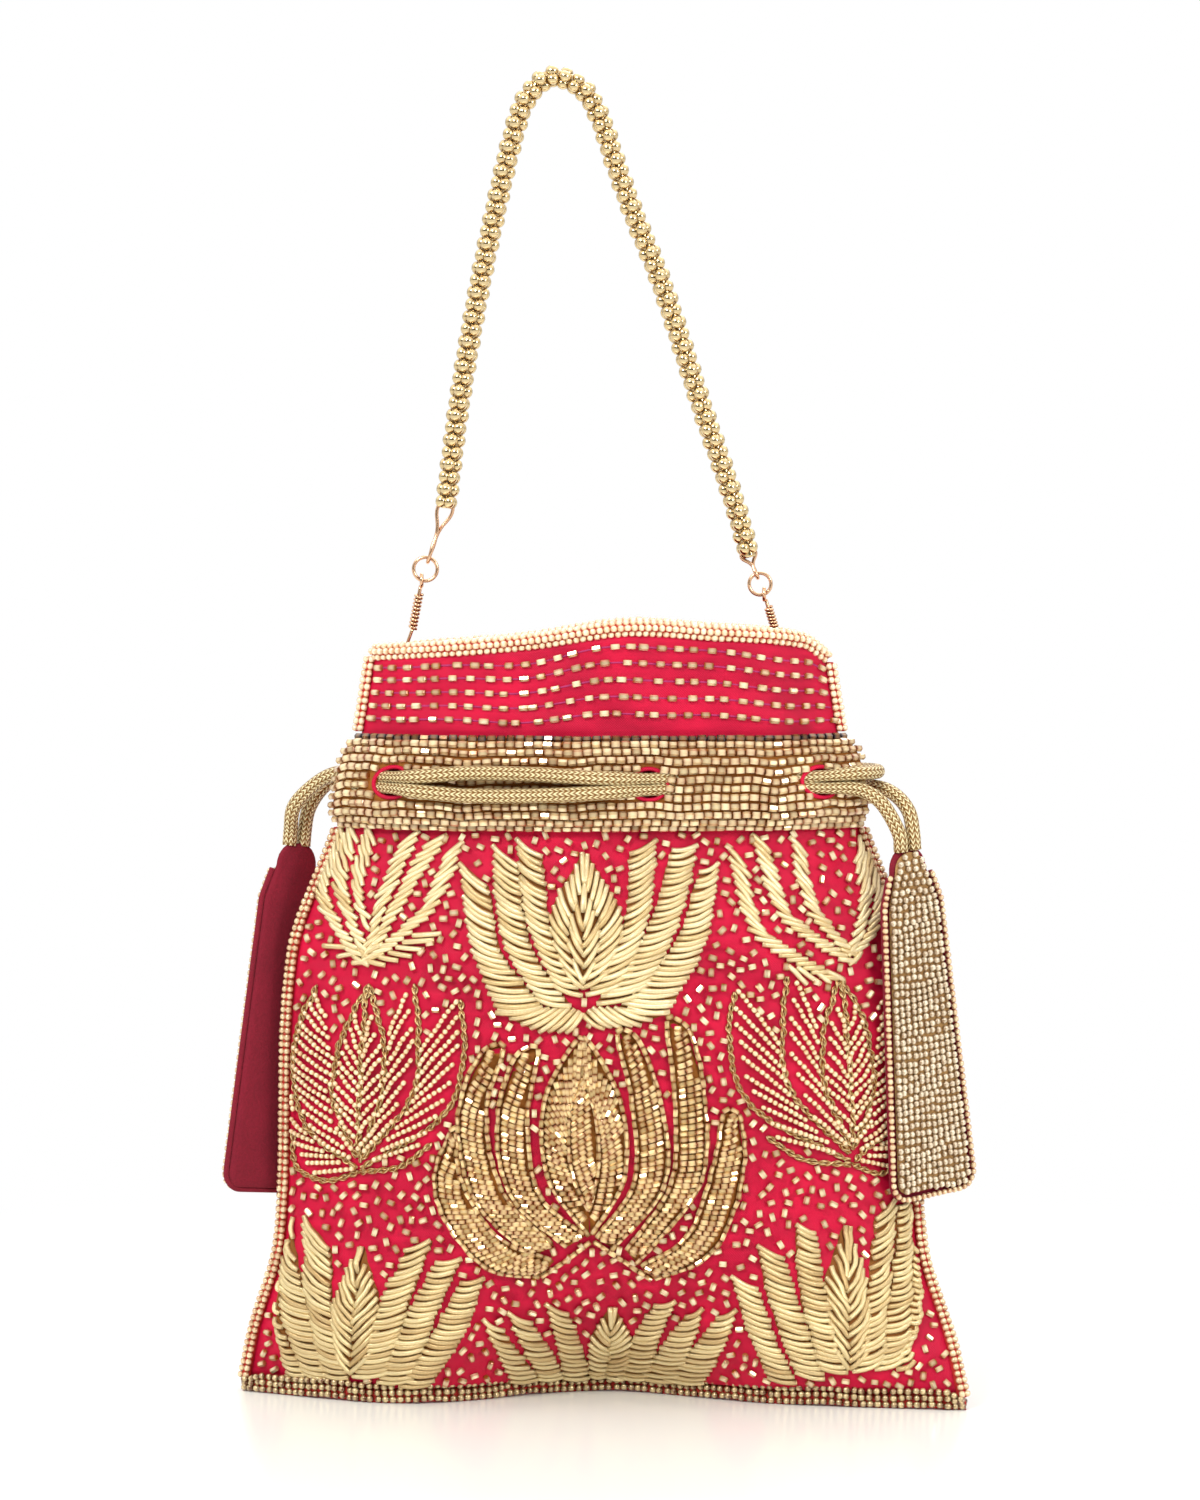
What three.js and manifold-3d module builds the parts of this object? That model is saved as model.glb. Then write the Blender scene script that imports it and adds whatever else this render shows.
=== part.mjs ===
// A potli: a drawstring pouch of red silk worked in gold beads and bullion-wire lotuses, with a
// beaded casing, two braided cords, a beaded tab on each cord and a popcorn-chain handle.
// Millimetres, +Z up. The front faces -Y and the bottom seam stands on z = 0.
import * as THREE from 'three';
import { mergeVertices } from 'three/addons/utils/BufferGeometryUtils.js';
import Module from 'manifold-3d';

const wasm = await Module();
wasm.setup();

// The gap between pieces that touch on the real bag, and the cloth and wall thicknesses
const CLEARANCE = 0.3;
const PANEL_CLOTH = 1.6;
const LINING_CLOTH = 0.8;
const CASING_WALL = 1.4;

// The pouch outline at each height: half width and half depth of the outer cloth
const SEAM_HEIGHT = 4.3;
const SEAM_HALF_WIDTH = 96;
const SEAM_HALF_DEPTH = 3.4;
const CORNER_HEIGHT = 18;
const CORNER_HALF_WIDTH = 92;
const CORNER_HALF_DEPTH = 14;
const HIP_HEIGHT = 44;
const HIP_HALF_WIDTH = 86.3;
const HIP_HALF_DEPTH = 22.5;
const SHOULDER_HEIGHT = 122;
const SHOULDER_HALF_WIDTH = 83.2;
const SHOULDER_HALF_DEPTH = 25;
const CASING_FOOT = 158;
const CASING_FOOT_HALF_WIDTH = 70.6;
const CASING_FOOT_HALF_DEPTH = 19;
const CASING_HEIGHT = 25;
const CASING_TOP_HALF_WIDTH = 65.5;
const CASING_TOP_HALF_DEPTH = 16.5;
const FRILL_HEIGHT = 23;
const RIM_HALF_WIDTH = 62;
const RIM_HALF_DEPTH = 16;

// How round the two panels meet at the side seams, and the soft folds of the drawn neck
const SEAM_ROUNDING = 1.2;
const FOLD_DEPTH = 1.2;
const FOLDS_AROUND = 8;
const FOLDS_START = 110;

// The bottom seam weaves in depth, so the pouch stands: [place across, depth], fading upward
const SEAM_WEAVE = [[-1, 9], [-0.52, -11], [0, 9], [0.47, -11], [1, -22]];
const WEAVE_HEIGHT = 32;
// The rim rises and falls along the frill: [place across, lift]
const RIM_LIFT = [[-1, -2], [-0.66, -0.5], [-0.3, 1.4], [0.1, 5], [0.45, 4], [0.9, 1.5], [1, -3]];

// Bead edgings
const BOTTOM_EDGING_WIDTH = 7;
const SIDE_EDGING_RADIUS = 2;
const RIM_EDGING_RADIUS = 1.8;
const RIM_EDGING_SPAN = 81;
const LINING_GAP = 1.2;
const LINING_FOOT = 30;
const LINING_DROP = 4;

// The casing that the cords run in, its ridges of beads and its front slits [place across]
const CASING_EDGE = 1.9;
const CASING_RIDGES = 5;
const RIDGE_RELIEF = 0.45;
const CASING_FRONT_SPAN = 80;
const CASING_BACK_SPAN = 65;
const SLIT_LENGTH = 17;
const FRONT_SLITS = [-0.77, 0.18, 0.82];

// The braided drawstring cords, one above the other in the casing
const CORD_DIAMETER = 4;
const CORD_SIDES = 8;

// The lotuses: where their feet stand, then each petal from low left to low right as the place it
// bends through, its tip and its width. Places are across, and up from the floor to the casing.
const LOTUSES = {
  lotus_top_left: {
    feet: { from: -0.8, to: -0.71, up: 0.772 },
    petals: [
      { bend: [-0.93, 0.873], tip: [-0.93, 0.968], width: 4 },
      { bend: [-0.87, 0.88], tip: [-0.88, 0.972], width: 4 },
      { bend: [-0.81, 0.886], tip: [-0.82, 0.972], width: 4 },
      { bend: [-0.73, 0.886], tip: [-0.71, 0.972], width: 4 },
      { bend: [-0.68, 0.87], tip: [-0.62, 0.968], width: 4 },
      { bend: [-0.6, 0.845], tip: [-0.54, 0.956], width: 4 },
    ],
  },
  lotus_top_middle: {
    feet: { from: -0.14, to: 0.04, up: 0.687 },
    petals: [
      { bend: [-0.34, 0.753], tip: [-0.5, 0.943], width: 7.5 },
      { bend: [-0.25, 0.772], tip: [-0.39, 0.962], width: 7.5 },
      { bend: [-0.18, 0.797], tip: [-0.29, 0.968], width: 7 },
      { bend: [-0.05, 0.829], tip: [-0.06, 0.956], width: 16 },
      { bend: [0.09, 0.785], tip: [0.21, 0.968], width: 7 },
      { bend: [0.18, 0.766], tip: [0.35, 0.962], width: 7.5 },
      { bend: [0.26, 0.747], tip: [0.43, 0.937], width: 7.5 },
    ],
  },
  lotus_top_right: {
    feet: { from: 0.74, to: 0.83, up: 0.76 },
    petals: [
      { bend: [0.56, 0.804], tip: [0.5, 0.946], width: 4 },
      { bend: [0.64, 0.839], tip: [0.6, 0.968], width: 4 },
      { bend: [0.73, 0.861], tip: [0.73, 0.968], width: 4 },
      { bend: [0.86, 0.861], tip: [0.88, 0.956], width: 4 },
      { bend: [0.92, 0.842], tip: [0.93, 0.943], width: 4 },
    ],
  },
  lotus_middle_left: {
    feet: { from: -0.82, to: -0.73, up: 0.418 },
    petals: [
      { bend: [-0.91, 0.544], tip: [-0.91, 0.709], width: 8 },
      { bend: [-0.77, 0.57], tip: [-0.75, 0.722], width: 12 },
      { bend: [-0.65, 0.557], tip: [-0.61, 0.722], width: 9 },
      { bend: [-0.55, 0.525], tip: [-0.46, 0.703], width: 10 },
    ],
  },
  lotus_middle: {
    feet: { from: -0.09, to: 0.03, up: 0.297 },
    petals: [
      { bend: [-0.44, 0.348], tip: [-0.47, 0.478], width: 8 },
      { bend: [-0.36, 0.392], tip: [-0.33, 0.623], width: 8 },
      { bend: [-0.24, 0.392], tip: [-0.21, 0.623], width: 8 },
      { bend: [-0.05, 0.468], tip: [-0.05, 0.642], width: 19 },
      { bend: [0.14, 0.418], tip: [0.08, 0.655], width: 8 },
      { bend: [0.25, 0.399], tip: [0.24, 0.674], width: 8 },
      { bend: [0.38, 0.348], tip: [0.41, 0.516], width: 8 },
    ],
  },
  lotus_middle_right: {
    feet: { from: 0.76, to: 0.85, up: 0.43 },
    petals: [
      { bend: [0.55, 0.538], tip: [0.44, 0.715], width: 10 },
      { bend: [0.66, 0.57], tip: [0.61, 0.734], width: 9 },
      { bend: [0.8, 0.582], tip: [0.77, 0.734], width: 12 },
      { bend: [0.91, 0.557], tip: [0.91, 0.722], width: 8 },
    ],
  },
  lotus_low_left: {
    feet: { from: -0.82, to: -0.62, up: 0.06 },
    petals: [
      { bend: [-0.92, 0.152], tip: [-0.94, 0.297], width: 6 },
      { bend: [-0.84, 0.158], tip: [-0.89, 0.316], width: 8 },
      { bend: [-0.73, 0.158], tip: [-0.75, 0.275], width: 12 },
      { bend: [-0.62, 0.158], tip: [-0.54, 0.288], width: 8 },
      { bend: [-0.54, 0.133], tip: [-0.44, 0.256], width: 8 },
      { bend: [-0.47, 0.098], tip: [-0.37, 0.222], width: 7 },
    ],
  },
  lotus_low_middle: {
    feet: { from: -0.22, to: 0.25, up: 0.057 },
    petals: [
      { bend: [-0.26, 0.095], tip: [-0.34, 0.152], width: 7.5 },
      { bend: [-0.18, 0.098], tip: [-0.26, 0.161], width: 7 },
      { bend: [-0.1, 0.101], tip: [-0.16, 0.171], width: 7 },
      { bend: [0.02, 0.104], tip: [0.03, 0.165], width: 11 },
      { bend: [0.13, 0.104], tip: [0.21, 0.177], width: 7 },
      { bend: [0.21, 0.098], tip: [0.3, 0.168], width: 7 },
      { bend: [0.3, 0.095], tip: [0.39, 0.165], width: 7.5 },
    ],
  },
  lotus_low_right: {
    feet: { from: 0.63, to: 0.82, up: 0.07 },
    petals: [
      { bend: [0.48, 0.114], tip: [0.41, 0.228], width: 7.5 },
      { bend: [0.57, 0.146], tip: [0.5, 0.282], width: 7.5 },
      { bend: [0.65, 0.171], tip: [0.63, 0.316], width: 7 },
      { bend: [0.75, 0.184], tip: [0.78, 0.31], width: 11 },
      { bend: [0.85, 0.177], tip: [0.89, 0.335], width: 7 },
      { bend: [0.92, 0.165], tip: [0.94, 0.316], width: 5 },
    ],
  },
};
const LOTUS_SEAT = 1.4;
const LOTUS_THICKNESS = 0.5;
const PETAL_RELIEF = 0.9;
const PETAL_STEPS = 6;
const JOINED_STEPS = 1;
const PETAL_GAP = 0.9;
const UPWARD = new THREE.Vector2(0, 1);

// The tabs on the cord ends: beaded face, felt back, bead edging
const TAB_OUT = 16.8;
const TAB_FORWARD = 9;
const TAB_DROP = 24.5;
const TAB_YAW = 35;
const TAB_LEAN = 5.7;
const TAB_TOP_RADIUS = 5;
const TAB_SHOULDER_DROP = 9;
const TAB_SHOULDER_HALF_WIDTH = 8;
const TAB_LENGTH = 88;
const TAB_FOOT_HALF_WIDTH = 12.2;
const TAB_CORNER_RADIUS = 3;
const TAB_FACE_THICKNESS = 1.4;
const TAB_FELT_THICKNESS = 1.2;
const TAB_FELT_MARGIN = 0.6;
const TAB_EDGING_RADIUS = 1;

// The handle: a hollow popcorn chain standing over the mouth, [across, height above the rim] along
// its middle
const CHAIN_ROUTE = [[-42.3, 39], [-38.5, 68], [-33.1, 99], [-28.9, 119], [-24.2, 139], [-20.1, 151],
  [-13.2, 157], [-4.7, 153.5], [0, 145.6], [4.1, 133.6], [9.5, 118.7], [16.3, 102], [28.8, 64],
  [33.8, 49.6], [37.9, 37], [41, 25.5]];
const CHAIN_RADIUS = 3.3;
const CHAIN_BORE_RADIUS = 2.4;
const CHAIN_LEAN = 2;
const CHAIN_DOME_RELIEF = 0.5;
const CHAIN_ROW_PITCH = 3.4;
const CHAIN_SIDES = 10;

// The wire fittings at each chain end: ring on a hook's eye, link from the ring into the chain
const WIRE_RADIUS = 0.5;
const EYE_RADIUS = 1.6;
const TAIL_RADIUS = 0.9;
const COIL_RADIUS = 1.25;
const COIL_TURNS = 7;
const LINK_TIP_HALF_WIDTH = 1.25;
const LINK_INSERT = 2;
const LEFT_FITTING = { eye: [-48.9, 19.2], ring: 3.25, coilTop: [-49.6, 15.4], coilFoot: [-51.4, 6] };
const RIGHT_FITTING = { eye: [45, 15.4], ring: 3, coilTop: [46.2, 11.8], coilFoot: [48.6, 4] };
const HOOK_TUCK = 10;

const COLUMNS = 24;
const PANEL_ROWS = 16;
const CASING_TOP = CASING_FOOT + CASING_HEIGHT;
const RIM_HEIGHT = CASING_TOP + FRILL_HEIGHT;
const CORD_RADIUS = CORD_DIAMETER / 2;
const CORD_SPACING = CORD_DIAMETER + 2 * CLEARANCE;
const CHANNEL_DEPTH = CORD_DIAMETER + 6 * CLEARANCE;
const CASING_DEPTH = CHANNEL_DEPTH + CASING_WALL;
const CASING_MIDDLE = (CASING_FOOT + CASING_TOP) / 2;
const CORD_IN = CHANNEL_DEPTH / 2;
const CORD_OUT = CASING_DEPTH + RIDGE_RELIEF + CLEARANCE + CORD_RADIUS;
const CORD_UPPER = CASING_MIDDLE + CORD_SPACING / 2;
const CORD_LOWER = CASING_MIDDLE - CORD_SPACING / 2;
const FRONT = -1;
const BACK = 1;
const QUARTER = Math.PI / 2;

const RED_SILK = 0xa3122b;
const RED_FELT = 0x8a1024;
const BEAD_GOLD = 0xc79a3e;
const BULLION_GOLD = 0xd8bd86;
const CORD_GOLD = 0xc9a24f;
const CHAIN_GOLD = 0xd9a93f;
const WIRE_GOLD = 0xc98a5a;

// A smooth curve through rising stations [place, value]
function through(stations, place) {
  const last = stations.length - 1;
  const at = THREE.MathUtils.clamp(place, stations[0][0], stations[last][0]);
  let i = 0;
  while (i < last - 1 && stations[i + 1][0] < at) i += 1;
  const slope = (a, b) => (stations[b][1] - stations[a][1]) / (stations[b][0] - stations[a][0]);
  const startSlope = i > 0 ? slope(i - 1, i + 1) : slope(i, i + 1);
  const endSlope = i + 2 <= last ? slope(i, i + 2) : slope(i, i + 1);
  const span = stations[i + 1][0] - stations[i][0];
  const t = (at - stations[i][0]) / span;
  const ease = t * t * (3 - 2 * t);
  const rise = t * (1 - t) * ((1 - t) * startSlope - t * endSlope) * span;
  return stations[i][1] * (1 - ease) + stations[i + 1][1] * ease + rise;
}

const WIDTHS = [
  [SEAM_HEIGHT, SEAM_HALF_WIDTH],
  [CORNER_HEIGHT, CORNER_HALF_WIDTH],
  [HIP_HEIGHT, HIP_HALF_WIDTH],
  [SHOULDER_HEIGHT, SHOULDER_HALF_WIDTH],
  [CASING_FOOT, CASING_FOOT_HALF_WIDTH],
  [CASING_TOP, CASING_TOP_HALF_WIDTH],
  [RIM_HEIGHT, RIM_HALF_WIDTH],
];
const DEPTHS = [
  [SEAM_HEIGHT, SEAM_HALF_DEPTH],
  [CORNER_HEIGHT, CORNER_HALF_DEPTH],
  [HIP_HEIGHT, HIP_HALF_DEPTH],
  [SHOULDER_HEIGHT, SHOULDER_HALF_DEPTH],
  [CASING_FOOT, CASING_FOOT_HALF_DEPTH],
  [CASING_TOP, CASING_TOP_HALF_DEPTH],
  [RIM_HEIGHT, RIM_HALF_DEPTH],
];
const halfWidth = (height) => through(WIDTHS, height);
const halfDepth = (height) => through(DEPTHS, height);
const weave = (across, height) => through(SEAM_WEAVE, across) * Math.exp(-((height / WEAVE_HEIGHT) ** 2));

// A point of the pouch: angle runs from the left seam to the right seam through the panel's middle,
// side is FRONT or BACK, and out is the distance outside the panel's outer face.
function pouchPoint(angle, height, side, out) {
  const across = Math.sin(angle);
  const folding = THREE.MathUtils.smoothstep(height, FOLDS_START, CASING_FOOT);
  const fold = FOLD_DEPTH * folding * Math.cos(FOLDS_AROUND * angle);
  const depth = (halfDepth(height) + fold + out) * Math.max(Math.cos(angle), 0) ** SEAM_ROUNDING;
  const frillShare = Math.max(height - CASING_TOP, 0) / (RIM_HEIGHT - CASING_TOP);
  return new THREE.Vector3(
    (halfWidth(height) + out) * across,
    side * (CLEARANCE / 2 + depth) + weave(across, height),
    height + frillShare * through(RIM_LIFT, across),
  );
}

// A geometry from corner points and triangles of a closed body, turned to face out
function solid(points, faces) {
  let volume = 0;
  for (const [a, b, c] of faces) {
    volume += points[a].dot(new THREE.Vector3().crossVectors(points[b], points[c]));
  }
  const outward = volume > 0 ? faces : faces.map(([a, b, c]) => [a, c, b]);
  const geometry = new THREE.BufferGeometry().setFromPoints(points);
  geometry.setIndex(outward.flat());
  geometry.computeVertexNormals();
  return geometry;
}

// A closed sheet between an outer and an inner face, each a function of two shares from 0 to 1
function sheet(rows, columns, outer, inner) {
  const points = [];
  for (const face of [outer, inner]) {
    for (let row = 0; row <= rows; row += 1) {
      for (let column = 0; column <= columns; column += 1) {
        points.push(face(row / rows, column / columns));
      }
    }
  }
  const layer = (rows + 1) * (columns + 1);
  const corner = (row, column) => row * (columns + 1) + column;
  const faces = [];
  const quad = (a, b, c, d) => faces.push([a, b, c], [a, c, d]);
  for (let row = 0; row < rows; row += 1) {
    for (let column = 0; column < columns; column += 1) {
      const a = corner(row, column);
      const b = corner(row, column + 1);
      const c = corner(row + 1, column + 1);
      const d = corner(row + 1, column);
      quad(a, b, c, d);
      quad(layer + a, layer + d, layer + c, layer + b);
    }
  }
  const wall = (a, b) => quad(b, a, layer + a, layer + b);
  for (let column = 0; column < columns; column += 1) {
    wall(corner(0, column), corner(0, column + 1));
    wall(corner(rows, column + 1), corner(rows, column));
  }
  for (let row = 0; row < rows; row += 1) {
    wall(corner(row + 1, 0), corner(row, 0));
    wall(corner(row, columns), corner(row + 1, columns));
  }
  return solid(points, faces);
}

// A closed body through rings of equal count, capped at both ends or joined into a loop
function loft(rings, loops = false) {
  const count = rings[0].length;
  const points = rings.flat();
  const faces = [];
  const spans = loops ? rings.length : rings.length - 1;
  for (let i = 0; i < spans; i += 1) {
    const here = i * count;
    const next = ((i + 1) % rings.length) * count;
    for (let k = 0; k < count; k += 1) {
      const turn = (k + 1) % count;
      faces.push([here + k, here + turn, next + turn], [here + k, next + turn, next + k]);
    }
  }
  if (!loops) {
    const end = (rings.length - 1) * count;
    for (let k = 1; k < count - 1; k += 1) {
      faces.push([0, k + 1, k], [end, end + k, end + k + 1]);
    }
  }
  return solid(points, faces);
}

// Rings of points around a curve; radius is a function of the step and the place around
function ringsAlong(curve, steps, sides, radius, loops = false) {
  const frames = curve.computeFrenetFrames(steps, loops);
  const rings = [];
  for (let i = 0; i < (loops ? steps : steps + 1); i += 1) {
    const middle = curve.getPointAt(i / steps);
    const ring = [];
    for (let k = 0; k < sides; k += 1) {
      const turn = (k / sides) * 2 * Math.PI;
      const point = middle.clone();
      point.addScaledVector(frames.normals[i], Math.cos(turn) * radius(i, k));
      point.addScaledVector(frames.binormals[i], Math.sin(turn) * radius(i, k));
      ring.push(point);
    }
    rings.push(ring);
  }
  return rings;
}

// A tube bent in the X-Z plane, with a ring at each of its points
function flatTube(points, radius, sides = 6) {
  const depth = new THREE.Vector3(0, 1, 0);
  const rings = points.map((middle, i) => {
    const before = points[Math.max(i - 1, 0)];
    const after = points[Math.min(i + 1, points.length - 1)];
    const aside = after.clone().sub(before).cross(depth).normalize();
    return Array.from({ length: sides }, (_, k) => {
      const turn = (k / sides) * 2 * Math.PI;
      const point = middle.clone().addScaledVector(aside, radius * Math.cos(turn));
      return point.addScaledVector(depth, radius * Math.sin(turn));
    });
  });
  return loft(rings);
}

function wire(points, radius, steps, sides = 6, loops = false) {
  const curve = new THREE.CatmullRomCurve3(points, loops);
  return loft(ringsAlong(curve, steps, sides, () => radius, loops), loops);
}

function toManifold(geometry) {
  const bare = geometry.clone();
  bare.deleteAttribute('normal');
  bare.deleteAttribute('uv');
  const merged = mergeVertices(bare);
  return new wasm.Manifold(new wasm.Mesh({
    numProp: 3,
    vertProperties: Float32Array.from(merged.attributes.position.array),
    triVerts: Uint32Array.from(merged.index.array),
  }));
}

function fromManifold(body) {
  const mesh = body.getMesh();
  const geometry = new THREE.BufferGeometry();
  geometry.setAttribute('position', new THREE.BufferAttribute(mesh.vertProperties, 3));
  geometry.setIndex(new THREE.BufferAttribute(mesh.triVerts, 1));
  geometry.computeVertexNormals();
  return geometry;
}

const potli = new THREE.Group();

function add(name, geometry, color, roughness, metalness, parent = potli) {
  const mesh = new THREE.Mesh(geometry, new THREE.MeshStandardMaterial({ color, roughness, metalness }));
  mesh.name = name;
  parent.add(mesh);
}

const addCloth = (name, geometry) => add(name, geometry, RED_SILK, 0.7, 0);
const addBeads = (name, geometry, parent) => add(name, geometry, BEAD_GOLD, 0.3, 0.4, parent);
const addWire = (name, geometry) => add(name, geometry, WIRE_GOLD, 0.3, 1);

const seamToSeam = (share) => THREE.MathUtils.lerp(-QUARTER, QUARTER, share);

// A pouch point by degrees from the panel's middle
const onNeck = (side, degrees, height, out) => {
  return pouchPoint(THREE.MathUtils.degToRad(degrees), height, side, out);
};

// The two panels, cut alike and sewn along the sides and the bottom
const panelHeight = (share) => THREE.MathUtils.lerp(SEAM_HEIGHT, RIM_HEIGHT, share);
function panel(side) {
  const face = (out) => (row, column) => pouchPoint(seamToSeam(column), panelHeight(row), side, out);
  return sheet(PANEL_ROWS, COLUMNS, face(0), face(-PANEL_CLOTH));
}
addCloth('front_panel', panel(FRONT));
addCloth('back_panel', panel(BACK));

// The lining: one tube of thin cloth inside the panels, sewn shut at its foot
function lining() {
  const outer = -(PANEL_CLOTH + LINING_GAP);
  const top = RIM_HEIGHT - LINING_DROP;
  const ring = (height, out) => {
    const points = [];
    for (let i = 0; i < COLUMNS; i += 1) points.push(pouchPoint(seamToSeam(i / COLUMNS), height, FRONT, out));
    for (let i = COLUMNS; i > 0; i -= 1) points.push(pouchPoint(seamToSeam(i / COLUMNS), height, BACK, out));
    return points;
  };
  const outside = [ring(LINING_FOOT, outer)];
  const inside = [ring(LINING_FOOT + LINING_CLOTH, outer - LINING_CLOTH)];
  for (let row = 0; row < PANEL_ROWS; row += 1) {
    const height = panelHeight(row / PANEL_ROWS);
    if (height > LINING_FOOT + LINING_GAP && height < top - LINING_GAP) {
      outside.push(ring(height, outer));
      inside.unshift(ring(height, outer - LINING_CLOTH));
    }
  }
  outside.push(ring(top, outer));
  inside.unshift(ring(top, outer - LINING_CLOTH));
  return loft([...outside, ...inside]);
}
addCloth('lining', lining());

// The casing: a puffed strip of beadwork sewn round the neck, which leaves a channel for the cords
function casing(side, span) {
  const rows = 2 * CASING_RIDGES;
  const puff = (row) => {
    const across = Math.abs(2 * row - 1);
    return CASING_EDGE + (CASING_DEPTH - CASING_EDGE) * (1 - across ** 4) ** 0.8;
  };
  const face = (out) => (row, column) => {
    const height = THREE.MathUtils.lerp(CASING_FOOT, CASING_TOP, row);
    return onNeck(side, THREE.MathUtils.lerp(-span, span, column), height, out(row));
  };
  const ridge = (row) => RIDGE_RELIEF * (Math.round(row * rows) % 2);
  return sheet(
    rows,
    COLUMNS,
    face((row) => puff(row) + ridge(row)),
    face((row) => Math.max(puff(row) - CASING_WALL, CLEARANCE)),
  );
}

// A box that cuts a slit for both cords through the front of the casing
function slit(across) {
  const angle = Math.asin(across);
  const here = pouchPoint(angle, CASING_MIDDLE, FRONT, CHANNEL_DEPTH + CASING_WALL / 2);
  const aside = 0.05;
  const beside = pouchPoint(angle + aside, CASING_MIDDLE, FRONT, CHANNEL_DEPTH + CASING_WALL / 2);
  const box = new THREE.BoxGeometry(SLIT_LENGTH, 2 * CASING_WALL + CORD_RADIUS, 2 * CORD_SPACING + CLEARANCE);
  box.rotateZ(Math.atan2(beside.y - here.y, beside.x - here.x));
  box.translate(here.x, here.y, here.z);
  return toManifold(box);
}
let frontCasing = toManifold(casing(FRONT, CASING_FRONT_SPAN));
for (const across of FRONT_SLITS) frontCasing = frontCasing.subtract(slit(across));
addBeads('front_casing', fromManifold(frontCasing));
addBeads('back_casing', casing(BACK, CASING_BACK_SPAN));

// Bead edging along the bottom seam: a roll with a flat underside that the pouch stands on
function bottomEdging() {
  const end = SEAM_HALF_WIDTH + CLEARANCE + 2 * SIDE_EDGING_RADIUS;
  const top = SEAM_HEIGHT - CLEARANCE;
  const half = BOTTOM_EDGING_WIDTH / 2;
  const section = [
    [-half, 0],
    [half, 0],
    [half, top / 2],
    [half / 2, top],
    [-half / 2, top],
    [-half, top / 2],
  ];
  const rings = [];
  const steps = COLUMNS;
  for (let i = 0; i <= steps; i += 1) {
    const across = Math.sin(seamToSeam(i / steps));
    const depth = weave(across, SEAM_HEIGHT);
    rings.push(section.map(([y, z]) => new THREE.Vector3(end * across, depth + y, z)));
  }
  return loft(rings);
}
addBeads('bottom_edging', bottomEdging());

// Bead edging up a side seam, between two heights
function seamEdging(hand, from, to, steps) {
  const points = [];
  for (let i = 0; i <= steps; i += 1) {
    const height = THREE.MathUtils.lerp(from, to, i / steps);
    points.push(pouchPoint(hand * QUARTER, height, 0, 2 * CLEARANCE + SIDE_EDGING_RADIUS));
  }
  return wire(points, SIDE_EDGING_RADIUS, 2 * steps);
}
for (const [word, hand] of [['left', -1], ['right', 1]]) {
  const sideFoot = SEAM_HEIGHT + SIDE_EDGING_RADIUS;
  const frillFoot = CASING_TOP + 3 * CLEARANCE;
  addBeads(`${word}_side_edging`, seamEdging(hand, sideFoot, CASING_FOOT - 2 * CLEARANCE, 8));
  addBeads(`${word}_frill_edging`, seamEdging(hand, frillFoot, RIM_HEIGHT - CLEARANCE, 2));
}

// Bead edging on top of each panel's rim, stopping just short of the side seams
function rimEdging(side) {
  const points = [];
  for (let i = 0; i <= COLUMNS; i += 1) {
    const degrees = THREE.MathUtils.lerp(-RIM_EDGING_SPAN, RIM_EDGING_SPAN, i / COLUMNS);
    const point = onNeck(side, degrees, RIM_HEIGHT, -PANEL_CLOTH / 2);
    point.z += 2 * CLEARANCE + RIM_EDGING_RADIUS;
    points.push(point);
  }
  return wire(points, RIM_EDGING_RADIUS, COLUMNS);
}
addBeads('front_rim_edging', rimEdging(FRONT));
addBeads('back_rim_edging', rimEdging(BACK));

// A point seated on the panel's facets, between the corners that the panel is built from
function onPanel(across, height, out) {
  const column = (Math.asin(across) / Math.PI + 0.5) * COLUMNS;
  const row = ((height - SEAM_HEIGHT) / (RIM_HEIGHT - SEAM_HEIGHT)) * PANEL_ROWS;
  const left = Math.floor(column);
  const low = Math.floor(row);
  const corner = (r, c) => pouchPoint(seamToSeam(c / COLUMNS), panelHeight(r / PANEL_ROWS), FRONT, out);
  const foot = corner(low, left).lerp(corner(low, left + 1), column - left);
  const head = corner(low + 1, left).lerp(corner(low + 1, left + 1), column - left);
  return foot.lerp(head, row - low);
}

// A closed body from the squares of its outer face, with the same squares on its inner face and a
// wall along every open edge
function plate(squares, outer, inner) {
  const layer = outer.length;
  const faces = [];
  const quad = (a, b, c, d) => faces.push([a, b, c], [a, c, d]);
  const openEdges = new Map();
  for (const [a, b, c, d] of squares) {
    quad(a, b, c, d);
    quad(layer + a, layer + d, layer + c, layer + b);
    for (const [from, to] of [[a, b], [b, c], [c, d], [d, a]]) {
      if (!openEdges.delete(`${to} ${from}`)) {
        openEdges.set(`${from} ${to}`, [from, to]);
      }
    }
  }
  for (const [from, to] of openEdges.values()) {
    quad(to, from, layer + from, layer + to);
  }
  return solid([...outer, ...inner], faces);
}

// The middle line of a petal in millimetres, through its foot, its bend and its tip
function petalLine(foot, bend, tip) {
  return (share) => foot.clone().multiplyScalar((1 - share) * (1 - 2 * share))
    .addScaledVector(bend, 4 * share * (1 - share))
    .addScaledVector(tip, share * (2 * share - 1));
}

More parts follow.
